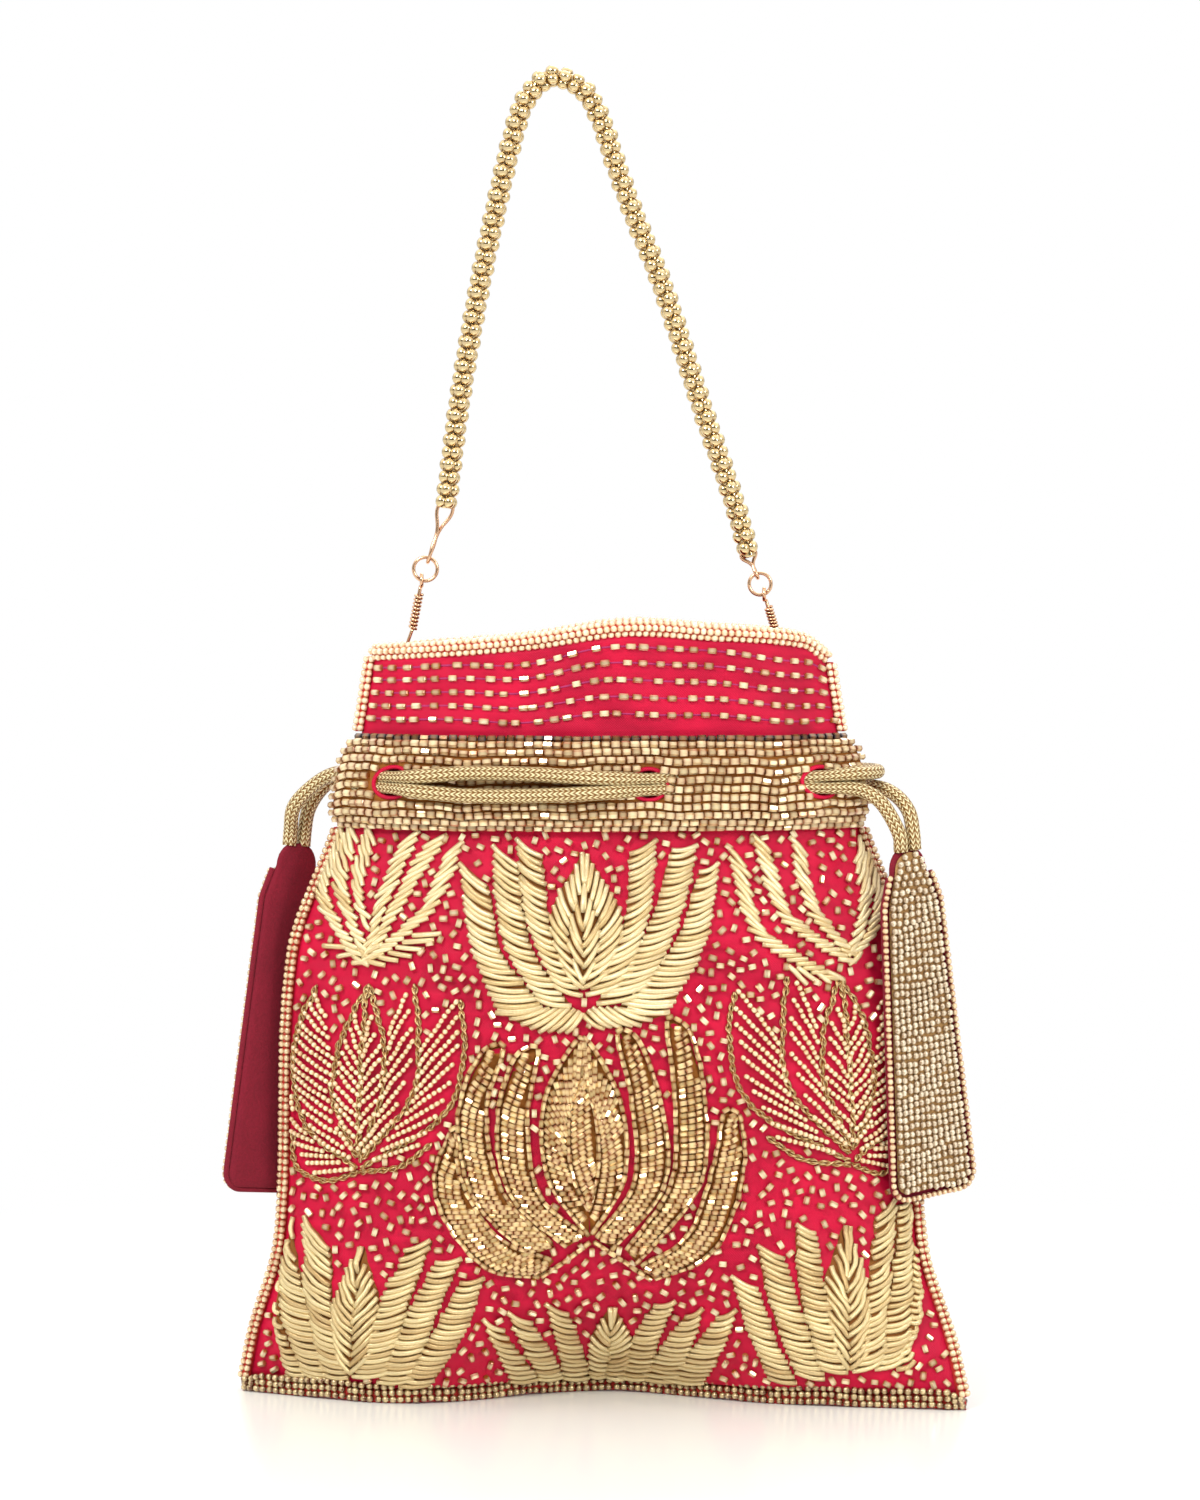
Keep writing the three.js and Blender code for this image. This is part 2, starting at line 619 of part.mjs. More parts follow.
// A lotus worked on the front panel: petals raised along their middles, joined at their feet and
// parted further up
function lotus({ feet, petals }) {
  const flat = ([across, up]) => new THREE.Vector2(across * halfWidth(up * CASING_FOOT), up * CASING_FOOT);
  const fullness = (share) => Math.sin(Math.PI * THREE.MathUtils.lerp(0.15, 0.94, share));
  const lines = petals.map(({ bend, tip }, i) => {
    const foot = [THREE.MathUtils.lerp(feet.from, feet.to, i / (petals.length - 1)), feet.up];
    return petalLine(flat(foot), flat(bend), flat(tip));
  });
  const spots = [];
  const place = (spot, raised) => spots.push({ spot, raised }) - 1;
  const rightOf = (line, share) => {
    const way = line(share + 0.01).sub(line(share - 0.01)).normalize();
    if (share === 0) {
      way.add(UPWARD).normalize();
    }
    return new THREE.Vector2(way.y, -way.x);
  };
  const edges = petals.map(() => ({ left: [], middle: [], right: [] }));
  const parted = petals.map(() => false);
  for (let step = 0; step <= PETAL_STEPS; step += 1) {
    const share = step / PETAL_STEPS;
    const half = (i) => (petals[i].width / 2) * fullness(share);
    const aside = (i, distance) => lines[i](share).addScaledVector(rightOf(lines[i], share), distance);
    edges[0].left.push(place(aside(0, -half(0)), 0));
    petals.forEach((petal, i) => {
      edges[i].middle.push(place(lines[i](share), fullness(share)));
      if (i === petals.length - 1) {
        edges[i].right.push(place(aside(i, half(i)), 0));
        return;
      }
      const wide = half(i) + half(i + 1);
      const room = lines[i](share).distanceTo(lines[i + 1](share)) - PETAL_GAP;
      parted[i] ||= step > JOINED_STEPS && wide < room;
      if (parted[i]) {
        const fit = Math.min(1, room / wide);
        edges[i].right.push(place(aside(i, fit * half(i)), 0));
        edges[i + 1].left.push(place(aside(i + 1, -fit * half(i + 1)), 0));
      } else {
        const between = lines[i](share).lerp(lines[i + 1](share), half(i) / wide);
        const shared = place(between, 0);
        edges[i].right.push(shared);
        edges[i + 1].left.push(shared);
      }
    });
  }
  const squares = [];
  for (const { left, middle, right } of edges) {
    for (let step = 0; step < PETAL_STEPS; step += 1) {
      squares.push([left[step], middle[step], middle[step + 1], left[step + 1]]);
      squares.push([middle[step], right[step], right[step + 1], middle[step + 1]]);
    }
  }
  const seated = (out, relief) => spots.map(({ spot, raised }) => {
    const across = spot.x / halfWidth(spot.y);
    return onPanel(across, spot.y, out + relief * raised);
  });
  return plate(squares, seated(LOTUS_SEAT + LOTUS_THICKNESS, PETAL_RELIEF), seated(LOTUS_SEAT, 0));
}
for (const [name, points] of Object.entries(LOTUSES)) {
  add(name, lotus(points), BULLION_GOLD, 0.4, 0.6);
}

// A stretch of braided cord through hand-chosen points
function cord(points, steps) {
  const section = new THREE.Shape();
  for (let k = 0; k < CORD_SIDES; k += 1) {
    const turn = (k / CORD_SIDES) * 2 * Math.PI;
    const place = [CORD_RADIUS * Math.cos(turn), CORD_RADIUS * Math.sin(turn)];
    if (k === 0) section.moveTo(...place);
    else section.lineTo(...place);
  }
  const extrudePath = new THREE.CatmullRomCurve3(points);
  const geometry = new THREE.ExtrudeGeometry(section, { steps, extrudePath, bevelEnabled: false });
  geometry.deleteAttribute('normal');
  geometry.deleteAttribute('uv');
  const merged = mergeVertices(geometry);
  merged.computeVertexNormals();
  return merged;
}
const inChannel = (side, degrees, height) => degrees.map((d) => onNeck(side, d, height, CORD_IN));
const slitAt = FRONT_SLITS.map((across) => THREE.MathUtils.radToDeg(Math.asin(across)));
const SLIT_REACH = 8;

// The front of a cord from the left slit, over the beads to the middle slit, and in to the right slit
function frontStretch(height) {
  return [
    onNeck(FRONT, slitAt[0] - SLIT_REACH, height, CORD_IN),
    onNeck(FRONT, slitAt[0] + SLIT_REACH, height, CORD_OUT),
    onNeck(FRONT, -30, height, CORD_OUT),
    onNeck(FRONT, -15, height, CORD_OUT),
    onNeck(FRONT, slitAt[1] - SLIT_REACH, height, CORD_OUT),
    onNeck(FRONT, slitAt[1] + SLIT_REACH, height, CORD_IN),
    ...inChannel(FRONT, [26, 34, 42], height),
    onNeck(FRONT, slitAt[2] - SLIT_REACH, height, CORD_IN),
    onNeck(FRONT, slitAt[2] + SLIT_REACH, height, CORD_OUT),
  ];
}
const BACK_STOPS = Array.from({ length: 18 }, (_, i) => -68 + 8 * i);

const lowerCord = [
  ...frontStretch(CORD_LOWER).reverse(),
  ...inChannel(FRONT, [-68, -77], CORD_LOWER),
  onNeck(FRONT, -88, CORD_LOWER, CORD_IN + 3 * CLEARANCE),
  onNeck(BACK, -79, CORD_LOWER, CORD_IN + 3 * CLEARANCE),
  ...inChannel(BACK, BACK_STOPS, CORD_LOWER),
];
const upperCord = [
  ...inChannel(FRONT, [-80, -74, -67], CORD_UPPER),
  ...frontStretch(CORD_UPPER),
  onNeck(FRONT, 75, CORD_UPPER, CORD_OUT),
  onNeck(FRONT, 88, CORD_UPPER, CORD_OUT),
  onNeck(BACK, 81, CORD_UPPER, (CORD_IN + CORD_OUT) / 2),
  ...inChannel(BACK, [...BACK_STOPS].reverse(), CORD_UPPER),
];
const addCord = (name, points, steps) => add(name, cord(points, steps), CORD_GOLD, 0.45, 0.5);
addCord('lower_drawstring', lowerCord, 70);
addCord('upper_drawstring', upperCord, 70);

// A tab's sides and foot, from the left shoulder to the right, grown outward all round
function tabSides(grow) {
  const shoulder = TAB_SHOULDER_HALF_WIDTH + grow;
  const foot = TAB_FOOT_HALF_WIDTH + grow;
  const corner = TAB_CORNER_RADIUS + grow;
  const low = -TAB_LENGTH - grow;
  const path = new THREE.Shape();
  path.moveTo(-shoulder, -TAB_SHOULDER_DROP);
  path.lineTo(-foot, low + corner);
  path.absarc(-foot + corner, low + corner, corner, Math.PI, 1.5 * Math.PI, false);
  path.absarc(foot - corner, low + corner, corner, 1.5 * Math.PI, 2 * Math.PI, false);
  path.lineTo(shoulder, -TAB_SHOULDER_DROP);
  return path;
}

// One layer of a tab, standing in the tab's own X-Z plane between two depths
function tabLayer(grow, near, thickness) {
  const outline = tabSides(grow);
  const top = TAB_TOP_RADIUS + grow;
  outline.lineTo(top, 0);
  outline.absarc(0, 0, top, 0, Math.PI, false);
  const options = { depth: thickness, bevelEnabled: false, curveSegments: 5 };
  const layer = new THREE.ExtrudeGeometry(outline, options);
  layer.rotateX(QUARTER);
  layer.translate(0, near + thickness, 0);
  return layer;
}

// A point beside the neck: how far out from its side, its depth, and its height over the casing's middle
const besideNeck = (hand, out, depth, up) => {
  return new THREE.Vector3(hand * (halfWidth(CASING_MIDDLE) + out), depth, CASING_MIDDLE + up);
};

// The frame that a tab hangs in, turned to lie along the bag's side
function tabFrame() {
  const frame = new THREE.Group();
  frame.position.copy(besideNeck(1, TAB_OUT, -TAB_FORWARD, -TAB_DROP));
  frame.rotation.set(0, THREE.MathUtils.degToRad(-TAB_LEAN), THREE.MathUtils.degToRad(TAB_YAW), 'ZYX');
  return frame;
}

function addTab(word, parent) {
  const frame = tabFrame();
  parent.add(frame);
  const faceNear = -CLEARANCE / 2 - TAB_FACE_THICKNESS;
  addBeads(`${word}_tab_face`, tabLayer(0, faceNear, TAB_FACE_THICKNESS), frame);
  const felt = tabLayer(TAB_FELT_MARGIN, CLEARANCE / 2, TAB_FELT_THICKNESS);
  add(`${word}_tab_felt`, felt, RED_FELT, 0.95, 0, frame);
  const around = TAB_FELT_MARGIN + CLEARANCE + TAB_EDGING_RADIUS;
  const route = tabSides(around).getPoints(5).map((point) => new THREE.Vector3(point.x, 0, point.y));
  addBeads(`${word}_tab_edging`, flatTube(route, TAB_EDGING_RADIUS), frame);
  frame.updateWorldMatrix(true, false);
  return frame;
}
const leftSide = new THREE.Group();
leftSide.rotation.z = Math.PI;
potli.add(leftSide);
const rightTab = addTab('right', potli);
const leftTab = addTab('left', leftSide);

// The free ends of the cords, from the casing to the tabs
const STRAND_HALF_SPACING = CORD_DIAMETER / 2 + CLEARANCE;
const STRAND_END = TAB_TOP_RADIUS + TAB_FELT_MARGIN + CLEARANCE;
function toTab(tab, hand) {
  const spots = [STRAND_END + 2 * CORD_RADIUS, STRAND_END];
  return spots.map((z) => tab.localToWorld(new THREE.Vector3(hand * STRAND_HALF_SPACING, 0, z)));
}
addCord('right_front_strand', [
  onNeck(FRONT, slitAt[2] + SLIT_REACH + 2.3, CORD_LOWER, CORD_OUT),
  besideNeck(1, 6.8, -11.5, -4.5),
  ...toTab(rightTab, -1),
], 10);
addCord('right_back_strand', [
  onNeck(BACK, 69.5, CORD_LOWER, CORD_IN),
  besideNeck(1, 2.8, 4.4, -2.7),
  besideNeck(1, 8.8, 1.5, -5),
  besideNeck(1, 14.8, -3.5, -9.5),
  ...toTab(rightTab, 1),
], 12);
addCord('left_front_strand', [
  onNeck(FRONT, -81.5, CORD_UPPER, CORD_IN),
  besideNeck(-1, 4.9, 0.7, 2.1),
  besideNeck(-1, 10.8, 2.5, -1.5),
  besideNeck(-1, 16.8, 5.5, -8),
  ...toTab(leftTab, 1),
], 12);
addCord('left_back_strand', [
  onNeck(BACK, -70, CORD_UPPER, CORD_IN),
  besideNeck(-1, 2.9, 4.9, 1.5),
  besideNeck(-1, 8.8, 8, -2.5),
  besideNeck(-1, 12.8, 10, -8.5),
  ...toTab(leftTab, -1),
], 12);

// A point over the mouth by its place across and its height above the rim
const aboveRim = ([x, up]) => new THREE.Vector3(x, 0, RIM_HEIGHT + up);

// The popcorn chain: a hollow tube of staggered domes that leans back a little as it stands
function popcornChain() {
  const lean = Math.tan(THREE.MathUtils.degToRad(CHAIN_LEAN));
  const route = CHAIN_ROUTE.map(aboveRim);
  for (const point of route) point.y = Math.max(point.z - route[0].z, 0) * lean;
  const curve = new THREE.CatmullRomCurve3(route);
  const pairs = Math.round(curve.getLength() / (2 * CHAIN_ROW_PITCH));
  const dome = (row, k) => CHAIN_RADIUS - CHAIN_DOME_RELIEF * ((row + k) % 2);
  const outside = ringsAlong(curve, 2 * pairs, CHAIN_SIDES, dome);
  const bore = ringsAlong(curve, pairs, CHAIN_SIDES, () => CHAIN_BORE_RADIUS);
  return loft([...outside, ...bore.reverse()], true);
}
add('handle_chain', popcornChain(), CHAIN_GOLD, 0.25, 1);

// A wire-wrapped hook: the eye, its coil and the doubled tail sewn to the lining beside the seam
function hook(hand, { eye, coilTop, coilFoot }) {
  const top = aboveRim(coilTop);
  const foot = aboveRim(coilFoot);
  const loop = new THREE.TorusGeometry(EYE_RADIUS, WIRE_RADIUS, 6, 12);
  loop.rotateY(QUARTER);
  loop.translate(...aboveRim(eye));
  const liningOut = -(PANEL_CLOTH + LINING_GAP + LINING_CLOTH);
  const sewn = pouchPoint(hand * QUARTER, RIM_HEIGHT - HOOK_TUCK, 0, liningOut - 2 * CLEARANCE - TAIL_RADIUS);
  const tail = wire([
    aboveRim([eye[0], eye[1] - EYE_RADIUS]),
    top,
    foot,
    sewn.clone().add(new THREE.Vector3(-hand * 4, 0, 6)),
    sewn,
  ], TAIL_RADIUS, 12);
  const length = top.distanceTo(foot);
  const profile = [new THREE.Vector2(0, 0)];
  const halfTurns = 2 * COIL_TURNS;
  for (let i = 0; i <= halfTurns; i += 1) {
    const groove = (WIRE_RADIUS / 2) * (i % 2);
    profile.push(new THREE.Vector2(COIL_RADIUS - groove, (i / halfTurns) * length));
  }
  profile.push(new THREE.Vector2(0, length));
  const coil = new THREE.LatheGeometry(profile, 6);
  const along = top.clone().sub(foot).normalize();
  coil.applyQuaternion(new THREE.Quaternion().setFromUnitVectors(new THREE.Vector3(0, 1, 0), along));
  coil.translate(...foot);
  return fromManifold(toManifold(loop).add(toManifold(tail)).add(toManifold(coil)));
}

// The ring on the hook's eye, standing toward the chain's end
function ring({ eye, ring: radius }, along) {
  const geometry = new THREE.TorusGeometry(radius, WIRE_RADIUS, 6, 14);
  geometry.rotateX(QUARTER);
  geometry.translate(...aboveRim(eye).addScaledVector(along, radius));
  return geometry;
}

// The wire link that grips the ring and reaches into the chain's open end
function link({ eye, ring: radius }, along, chainEnd) {
  const grip = 2 * WIRE_RADIUS + CLEARANCE;
  const top = aboveRim(eye).addScaledVector(along, 2 * radius);
  const tip = chainEnd.clone().addScaledVector(along, LINK_INSERT);
  const at = (from, up, y) => from.clone().addScaledVector(along, up).add(new THREE.Vector3(0, y, 0));
  const route = [
    at(top, -grip, 0),
    at(top, 0, grip),
    at(tip, -LINK_TIP_HALF_WIDTH, LINK_TIP_HALF_WIDTH),
    at(tip, 0, 0),
    at(tip, -LINK_TIP_HALF_WIDTH, -LINK_TIP_HALF_WIDTH),
    at(top, 0, -grip),
  ];
  return wire(route, WIRE_RADIUS, 24, 6, true);
}
const chainEnds = [CHAIN_ROUTE[0], CHAIN_ROUTE[CHAIN_ROUTE.length - 1]];
[['left', -1, LEFT_FITTING], ['right', 1, RIGHT_FITTING]].forEach(([word, hand, fitting], i) => {
  const chainEnd = aboveRim(chainEnds[i]);
  const along = chainEnd.clone().sub(aboveRim(fitting.eye)).normalize();
  addWire(`${word}_hook`, hook(hand, fitting));
  addWire(`${word}_ring`, ring(fitting, along));
  addWire(`${word}_link`, link(fitting, along, chainEnd));
});

export default potli;
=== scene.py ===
import math

import bpy
import numpy as np
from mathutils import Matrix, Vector


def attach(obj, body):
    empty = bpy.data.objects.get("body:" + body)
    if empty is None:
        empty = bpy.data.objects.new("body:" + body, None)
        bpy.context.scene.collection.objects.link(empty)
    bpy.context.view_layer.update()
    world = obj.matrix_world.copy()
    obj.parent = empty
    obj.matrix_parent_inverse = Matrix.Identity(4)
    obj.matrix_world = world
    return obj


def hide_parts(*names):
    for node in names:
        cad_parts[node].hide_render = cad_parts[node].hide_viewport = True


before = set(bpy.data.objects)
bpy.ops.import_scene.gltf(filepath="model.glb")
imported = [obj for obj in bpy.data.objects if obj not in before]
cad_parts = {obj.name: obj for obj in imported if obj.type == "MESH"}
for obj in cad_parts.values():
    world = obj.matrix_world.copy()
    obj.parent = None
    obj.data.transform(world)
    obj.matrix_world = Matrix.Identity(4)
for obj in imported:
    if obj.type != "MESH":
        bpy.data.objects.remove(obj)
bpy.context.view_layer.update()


# The studio: a white sweep with a soft lamp on each side of the lens and a larger one behind. The lens
# looks level at the neck from a little above, as a small bag is photographed for a catalogue.
LENS_DISTANCE = 1.4
LENS_RISE = math.radians(3)
AIM = Vector((0, 0, 0.1786))
lens_side = Vector((0, -math.cos(LENS_RISE), math.sin(LENS_RISE)))
camera_data = bpy.data.cameras.new("camera")
camera_data.sensor_width = 36
camera_data.lens = 122.3
camera = bpy.data.objects.new("camera", camera_data)
camera.location = AIM + lens_side * LENS_DISTANCE
camera.rotation_euler = (-lens_side).to_track_quat("-Z", "Y").to_euler()
bpy.context.collection.objects.link(camera)
bpy.context.scene.camera = camera
bpy.context.scene.view_settings.view_transform = "Standard"


def node(tree, kind, settings=None, **inputs):
    """A shader node with its inputs set or linked; an input is named, or numbered as i0, i1."""
    made = tree.nodes.new("ShaderNode" + kind)
    for key, value in (settings or {}).items():
        setattr(made, key, value)
    for key, value in inputs.items():
        socket = made.inputs[int(key[1:])] if key[1:].isdigit() else made.inputs[key.replace("_", " ")]
        if isinstance(value, bpy.types.NodeSocket):
            tree.links.new(value, socket)
        else:
            socket.default_value = value
    return made


def sum_up(tree, how, a, b=0.0, c=None):
    """A Math node's value."""
    more = {} if c is None else {"i2": c}
    return node(tree, "Math", {"operation": how}, i0=a, i1=b, **more).outputs[0]


def dye(code):
    """A linear colour from a colour card's six digits."""
    channels = [int(code[i:i + 2], 16) / 255 for i in (0, 2, 4)]
    return [c / 12.92 if c <= 0.04045 else ((c + 0.055) / 1.055) ** 2.4 for c in channels] + [1.0]


def new_material(name):
    material = bpy.data.materials.new(name)
    material.use_nodes = True
    material.node_tree.nodes.clear()
    output = node(material.node_tree, "OutputMaterial")
    return material, material.node_tree, output


def seen_direct(tree):
    """1 where the lens, a shine or clear glass sees this straight, and 0 for the light it gives."""
    path = node(tree, "LightPath")
    shiny = sum_up(tree, "MAXIMUM", path.outputs["Is Camera Ray"], path.outputs["Is Glossy Ray"])
    return sum_up(tree, "MAXIMUM", shiny, path.outputs["Is Transmission Ray"])


world = bpy.data.worlds.new("studio")
bpy.context.scene.world = world
world.use_nodes = True
world.node_tree.nodes.clear()
facing = node(world.node_tree, "SeparateXYZ", i0=node(world.node_tree, "TexCoord").outputs["Generated"])
walls = node(world.node_tree, "MapRange", {"interpolation_type": "SMOOTHSTEP"}, Value=facing.outputs["Y"],
             From_Min=0.0, From_Max=-0.9, To_Min=0.7, To_Max=0.1)
ceiling = node(world.node_tree, "MapRange", {"interpolation_type": "SMOOTHSTEP"}, Value=facing.outputs["Z"],
               From_Min=0.1, From_Max=0.7, To_Min=0.0, To_Max=0.75)
brightness = sum_up(world.node_tree, "ADD", walls.outputs[0], ceiling.outputs[0])
room = node(world.node_tree, "Background", Color=(1, 0.985, 0.97, 1), Strength=brightness)
sweep_white = node(world.node_tree, "Background", Color=(1, 1, 1, 1), Strength=1.0)
path = node(world.node_tree, "LightPath")
both = node(world.node_tree, "MixShader", i0=path.outputs["Is Camera Ray"], i1=room.outputs[0],
            i2=sweep_white.outputs[0])
node(world.node_tree, "OutputWorld", Surface=both.outputs[0])

for lamp_name, spot, watts, span in [
    ("key_lamp", (-0.7, -1.1, 1.15), 15.0, 0.45),
    ("fill_lamp", (1.0, -1.0, 0.7), 8.0, 0.45),
    ("back_lamp", (0.2, 0.9, 1.1), 4.0, 0.8),
]:
    lamp_data = bpy.data.lights.new(lamp_name, "AREA")
    lamp_data.energy = watts
    lamp_data.size = span
    lamp = bpy.data.objects.new(lamp_name, lamp_data)
    lamp.location = spot
    lamp.rotation_euler = (Vector((0, 0, 0.15)) - Vector(spot)).to_track_quat("-Z", "Y").to_euler()
    bpy.context.collection.objects.link(lamp)

floor_mesh = bpy.data.meshes.new("floor")
floor_mesh.from_pydata([(-4, -4, 0), (4, -4, 0), (4, 4, 0), (-4, 4, 0)], [], [(0, 1, 2, 3)])
floor = bpy.data.objects.new("floor", floor_mesh)
bpy.context.collection.objects.link(floor)
floor_paint, tree, output = new_material("glossy_white_table")
table_top = node(tree, "BsdfPrincipled", Base_Color=dye("f1f2ee"), Roughness=0.22)
glow = node(tree, "Emission", Color=(1, 1, 1, 1), Strength=1.0)
place = node(tree, "TexCoord").outputs["Object"]
reach = node(tree, "VectorMath", {"operation": "LENGTH"}, i0=place).outputs["Value"]
far = node(tree, "MapRange", {"interpolation_type": "SMOOTHSTEP"}, Value=reach, From_Min=0.12, From_Max=0.42)
blend = sum_up(tree, "MULTIPLY", far.outputs[0], seen_direct(tree))
surface = node(tree, "MixShader", i0=blend, i1=table_top.outputs[0], i2=glow.outputs[0])
tree.links.new(surface.outputs[0], output.inputs["Surface"])
floor.data.materials.append(floor_paint)


# The two panels of the pouch: red silk backed with wadding, cut alike, sewn along the sides and the
# bottom and drawn in at the neck. Bead stitches pucker the cloth, and the frill ripples over the neck.
# Sizes are in millimetres; a mesh is made in metres.
FRONT = -1
BACK = 1
CASING_FOOT = 158.0
CASING_TOP = 183.0
RIM_HEIGHT = 206.0
SEAM_HEIGHT = 4.3
PANEL_CLOTH = 1.6
HALF_WIDTHS = [(4.3, 97.5), (18, 94.5), (44, 87), (122, 83.2), (158, 70.6), (183, 65.5), (206, 62)]
HALF_DEPTHS = [(4.3, 3.4), (18, 14), (44, 22.5), (122, 25), (158, 19), (183, 16.5), (206, 16)]
SEAM_WEAVE = [(-1, 9), (-0.52, -11), (0, 9), (0.47, -11), (1, -22)]
RIM_LIFT = [(-1, -2), (-0.66, -0.5), (-0.3, 1.4), (0.1, 5), (0.45, 4), (0.9, 1.5), (1, -3)]
FRILL_ROWS = [187.6, 191.4, 195.2, 199.0, 202.6]


def through(stations, place):
    """A smooth curve through rising stations (place, value)."""
    at, value = np.array(stations, float).T
    slope = np.empty(len(at))
    slope[1:-1] = (value[2:] - value[:-2]) / (at[2:] - at[:-2])
    slope[0] = (value[1] - value[0]) / (at[1] - at[0])
    slope[-1] = (value[-1] - value[-2]) / (at[-1] - at[-2])
    place = np.clip(place, at[0], at[-1])
    i = np.clip(np.searchsorted(at, place) - 1, 0, len(at) - 2)
    span = at[i + 1] - at[i]
    t = (place - at[i]) / span
    ease = t * t * (3 - 2 * t)
    rise = t * (1 - t) * ((1 - t) * slope[i] - t * slope[i + 1]) * span
    return value[i] * (1 - ease) + value[i + 1] * ease + rise


def step(value, low, high):
    t = np.clip((value - low) / (high - low), 0, 1)
    return t * t * (3 - 2 * t)


def weave(across, height):
    return through(SEAM_WEAVE, across) * np.exp(-(height / 32) ** 2)


def pouch(angle, height, side, out):
    """Points of the pouch, by the angle from the panel's middle, the height, and the distance out."""
    angle, height, out = np.broadcast_arrays(*(np.asarray(v, float) for v in (angle, height, out)))
    across = np.sin(angle)
    fold = 1.2 * step(height, 110, CASING_FOOT) * np.cos(8 * angle)
    depth = (through(HALF_DEPTHS, height) + fold + out) * np.maximum(np.cos(angle), 0) ** 1.2
    frill = np.maximum(height - CASING_TOP, 0) / (RIM_HEIGHT - CASING_TOP)
    return np.stack([
        (through(HALF_WIDTHS, height) + out) * across,
        side * (0.15 + depth) + weave(across, height),
        height + frill * through(RIM_LIFT, across),
    ], -1)


def frill_wave(across):
    """How the stitch rows of the frill rise and fall."""
    return 0.7 * np.sin(5.2 * across + 0.6) + 0.4 * np.sin(11 * across + 2)


def relief(angle, height, side):
    """How far the cloth stands off its plain form: stitch rows, puckers and the folds at the corners."""
    across = np.sin(angle)
    frill = step(height, CASING_TOP, CASING_TOP + 3) * (1 - step(height, RIM_HEIGHT - 2, RIM_HEIGHT))
    row = (height - FRILL_ROWS[0] - frill_wave(across)) / (FRILL_ROWS[1] - FRILL_ROWS[0])
    ripple = 0.6 * np.sin(math.pi * row) ** 2
    ripple = ripple + 0.45 * np.sin(9 * across + 0.5 * height + side) * np.cos(4 * across)
    body = step(height, 8, 24) * (1 - step(height, CASING_FOOT - 8, CASING_FOOT))
    pucker = 0.5 * np.sin(0.8 * height + 6 * across) * np.sin(19 * across - 0.35 * height + 2 * side)
    gather = 0.35 * step(height, 128, 154) * np.cos(46 * across)
    corner = step(across, 0.7, 0.97) * (1 - step(height, 16, 34)) * step(height, SEAM_HEIGHT, 8)
    crease = 1.3 * corner * np.sin(0.62 * (height - 62 * (across - 0.9)))
    return (frill * ripple + body * (pucker + gather) + crease) * (1 - step(np.abs(across), 0.93, 1.0))


def grid_faces(rows, columns):
    """Square faces of a grid of (rows + 1) by (columns + 1) points."""
    corner = np.arange((rows + 1) * (columns + 1)).reshape(rows + 1, columns + 1)
    return np.stack([corner[:-1, :-1], corner[:-1, 1:], corner[1:, 1:], corner[1:, :-1]], -1).reshape(-1, 4)


def sheet_between(outer, inner):
    """A closed sheet of cloth between two grids of points, the outer one facing out."""
    rows, columns = outer.shape[0] - 1, outer.shape[1] - 1
    layer = (rows + 1) * (columns + 1)
    faces = grid_faces(rows, columns)
    corner = np.arange(layer).reshape(rows + 1, columns + 1)
    edge = np.concatenate([corner[0, :-1], corner[:-1, -1], corner[-1, :0:-1], corner[:0:-1, 0]])
    turn = np.roll(edge, -1)
    walls = np.stack([turn, edge, edge + layer, turn + layer], -1)
    points = np.concatenate([outer.reshape(-1, 3), inner.reshape(-1, 3)])
    return points, [np.concatenate([faces, faces[:, ::-1] + layer, walls])]


def make_piece(name, points, faces, material, body="bag", node_names=(), slot=None, smooth=True, **tones):
    """An object from points in millimetres and arrays of faces, riding on a body."""
    mesh = bpy.data.meshes.new(name)
    corners = np.concatenate([f.ravel() for f in faces]).astype(np.int32)
    sizes = np.concatenate([np.full(len(f), f.shape[1]) for f in faces])
    mesh.vertices.add(len(points))
    mesh.vertices.foreach_set("co", (np.asarray(points, float) * 0.001).ravel())
    mesh.loops.add(len(corners))
    mesh.loops.foreach_set("vertex_index", corners)
    mesh.polygons.add(len(sizes))
    mesh.polygons.foreach_set("loop_start", np.concatenate([[0], np.cumsum(sizes)[:-1]]).astype(np.int32))
    mesh.polygons.foreach_set("use_smooth", np.full(len(sizes), smooth))
    mesh.update(calc_edges=True)
    for key, values in tones.items():
        mesh.attributes.new(key, "FLOAT", "POINT").data.foreach_set("value", np.asarray(values, np.float32))
    mesh.materials.append(material)
    made = bpy.data.objects.new(name, mesh)
    bpy.context.collection.objects.link(made)
    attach(made, body)
    if node_names:
        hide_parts(*node_names)
    return made


def new_group(name, inputs, outputs):
    """A shader node group with named sockets; returns it with its inputs and outputs."""
    group = bpy.data.node_groups.new(name, "ShaderNodeTree")
    for key, value in inputs.items():
        kind = "NodeSocketColor" if isinstance(value, (list, tuple)) else "NodeSocketFloat"
        group.interface.new_socket(key, in_out="INPUT", socket_type=kind).default_value = value
    for key, kind in outputs.items():
        group.interface.new_socket(key, in_out="OUTPUT", socket_type="NodeSocket" + kind)
    return group, group.nodes.new("NodeGroupInput").outputs, group.nodes.new("NodeGroupOutput").inputs


def mixed(tree, share, a, b):
    """A colour between two."""
    return node(tree, "Mix", {"data_type": "RGBA"}, i0=share, i6=a, i7=b).outputs[2]


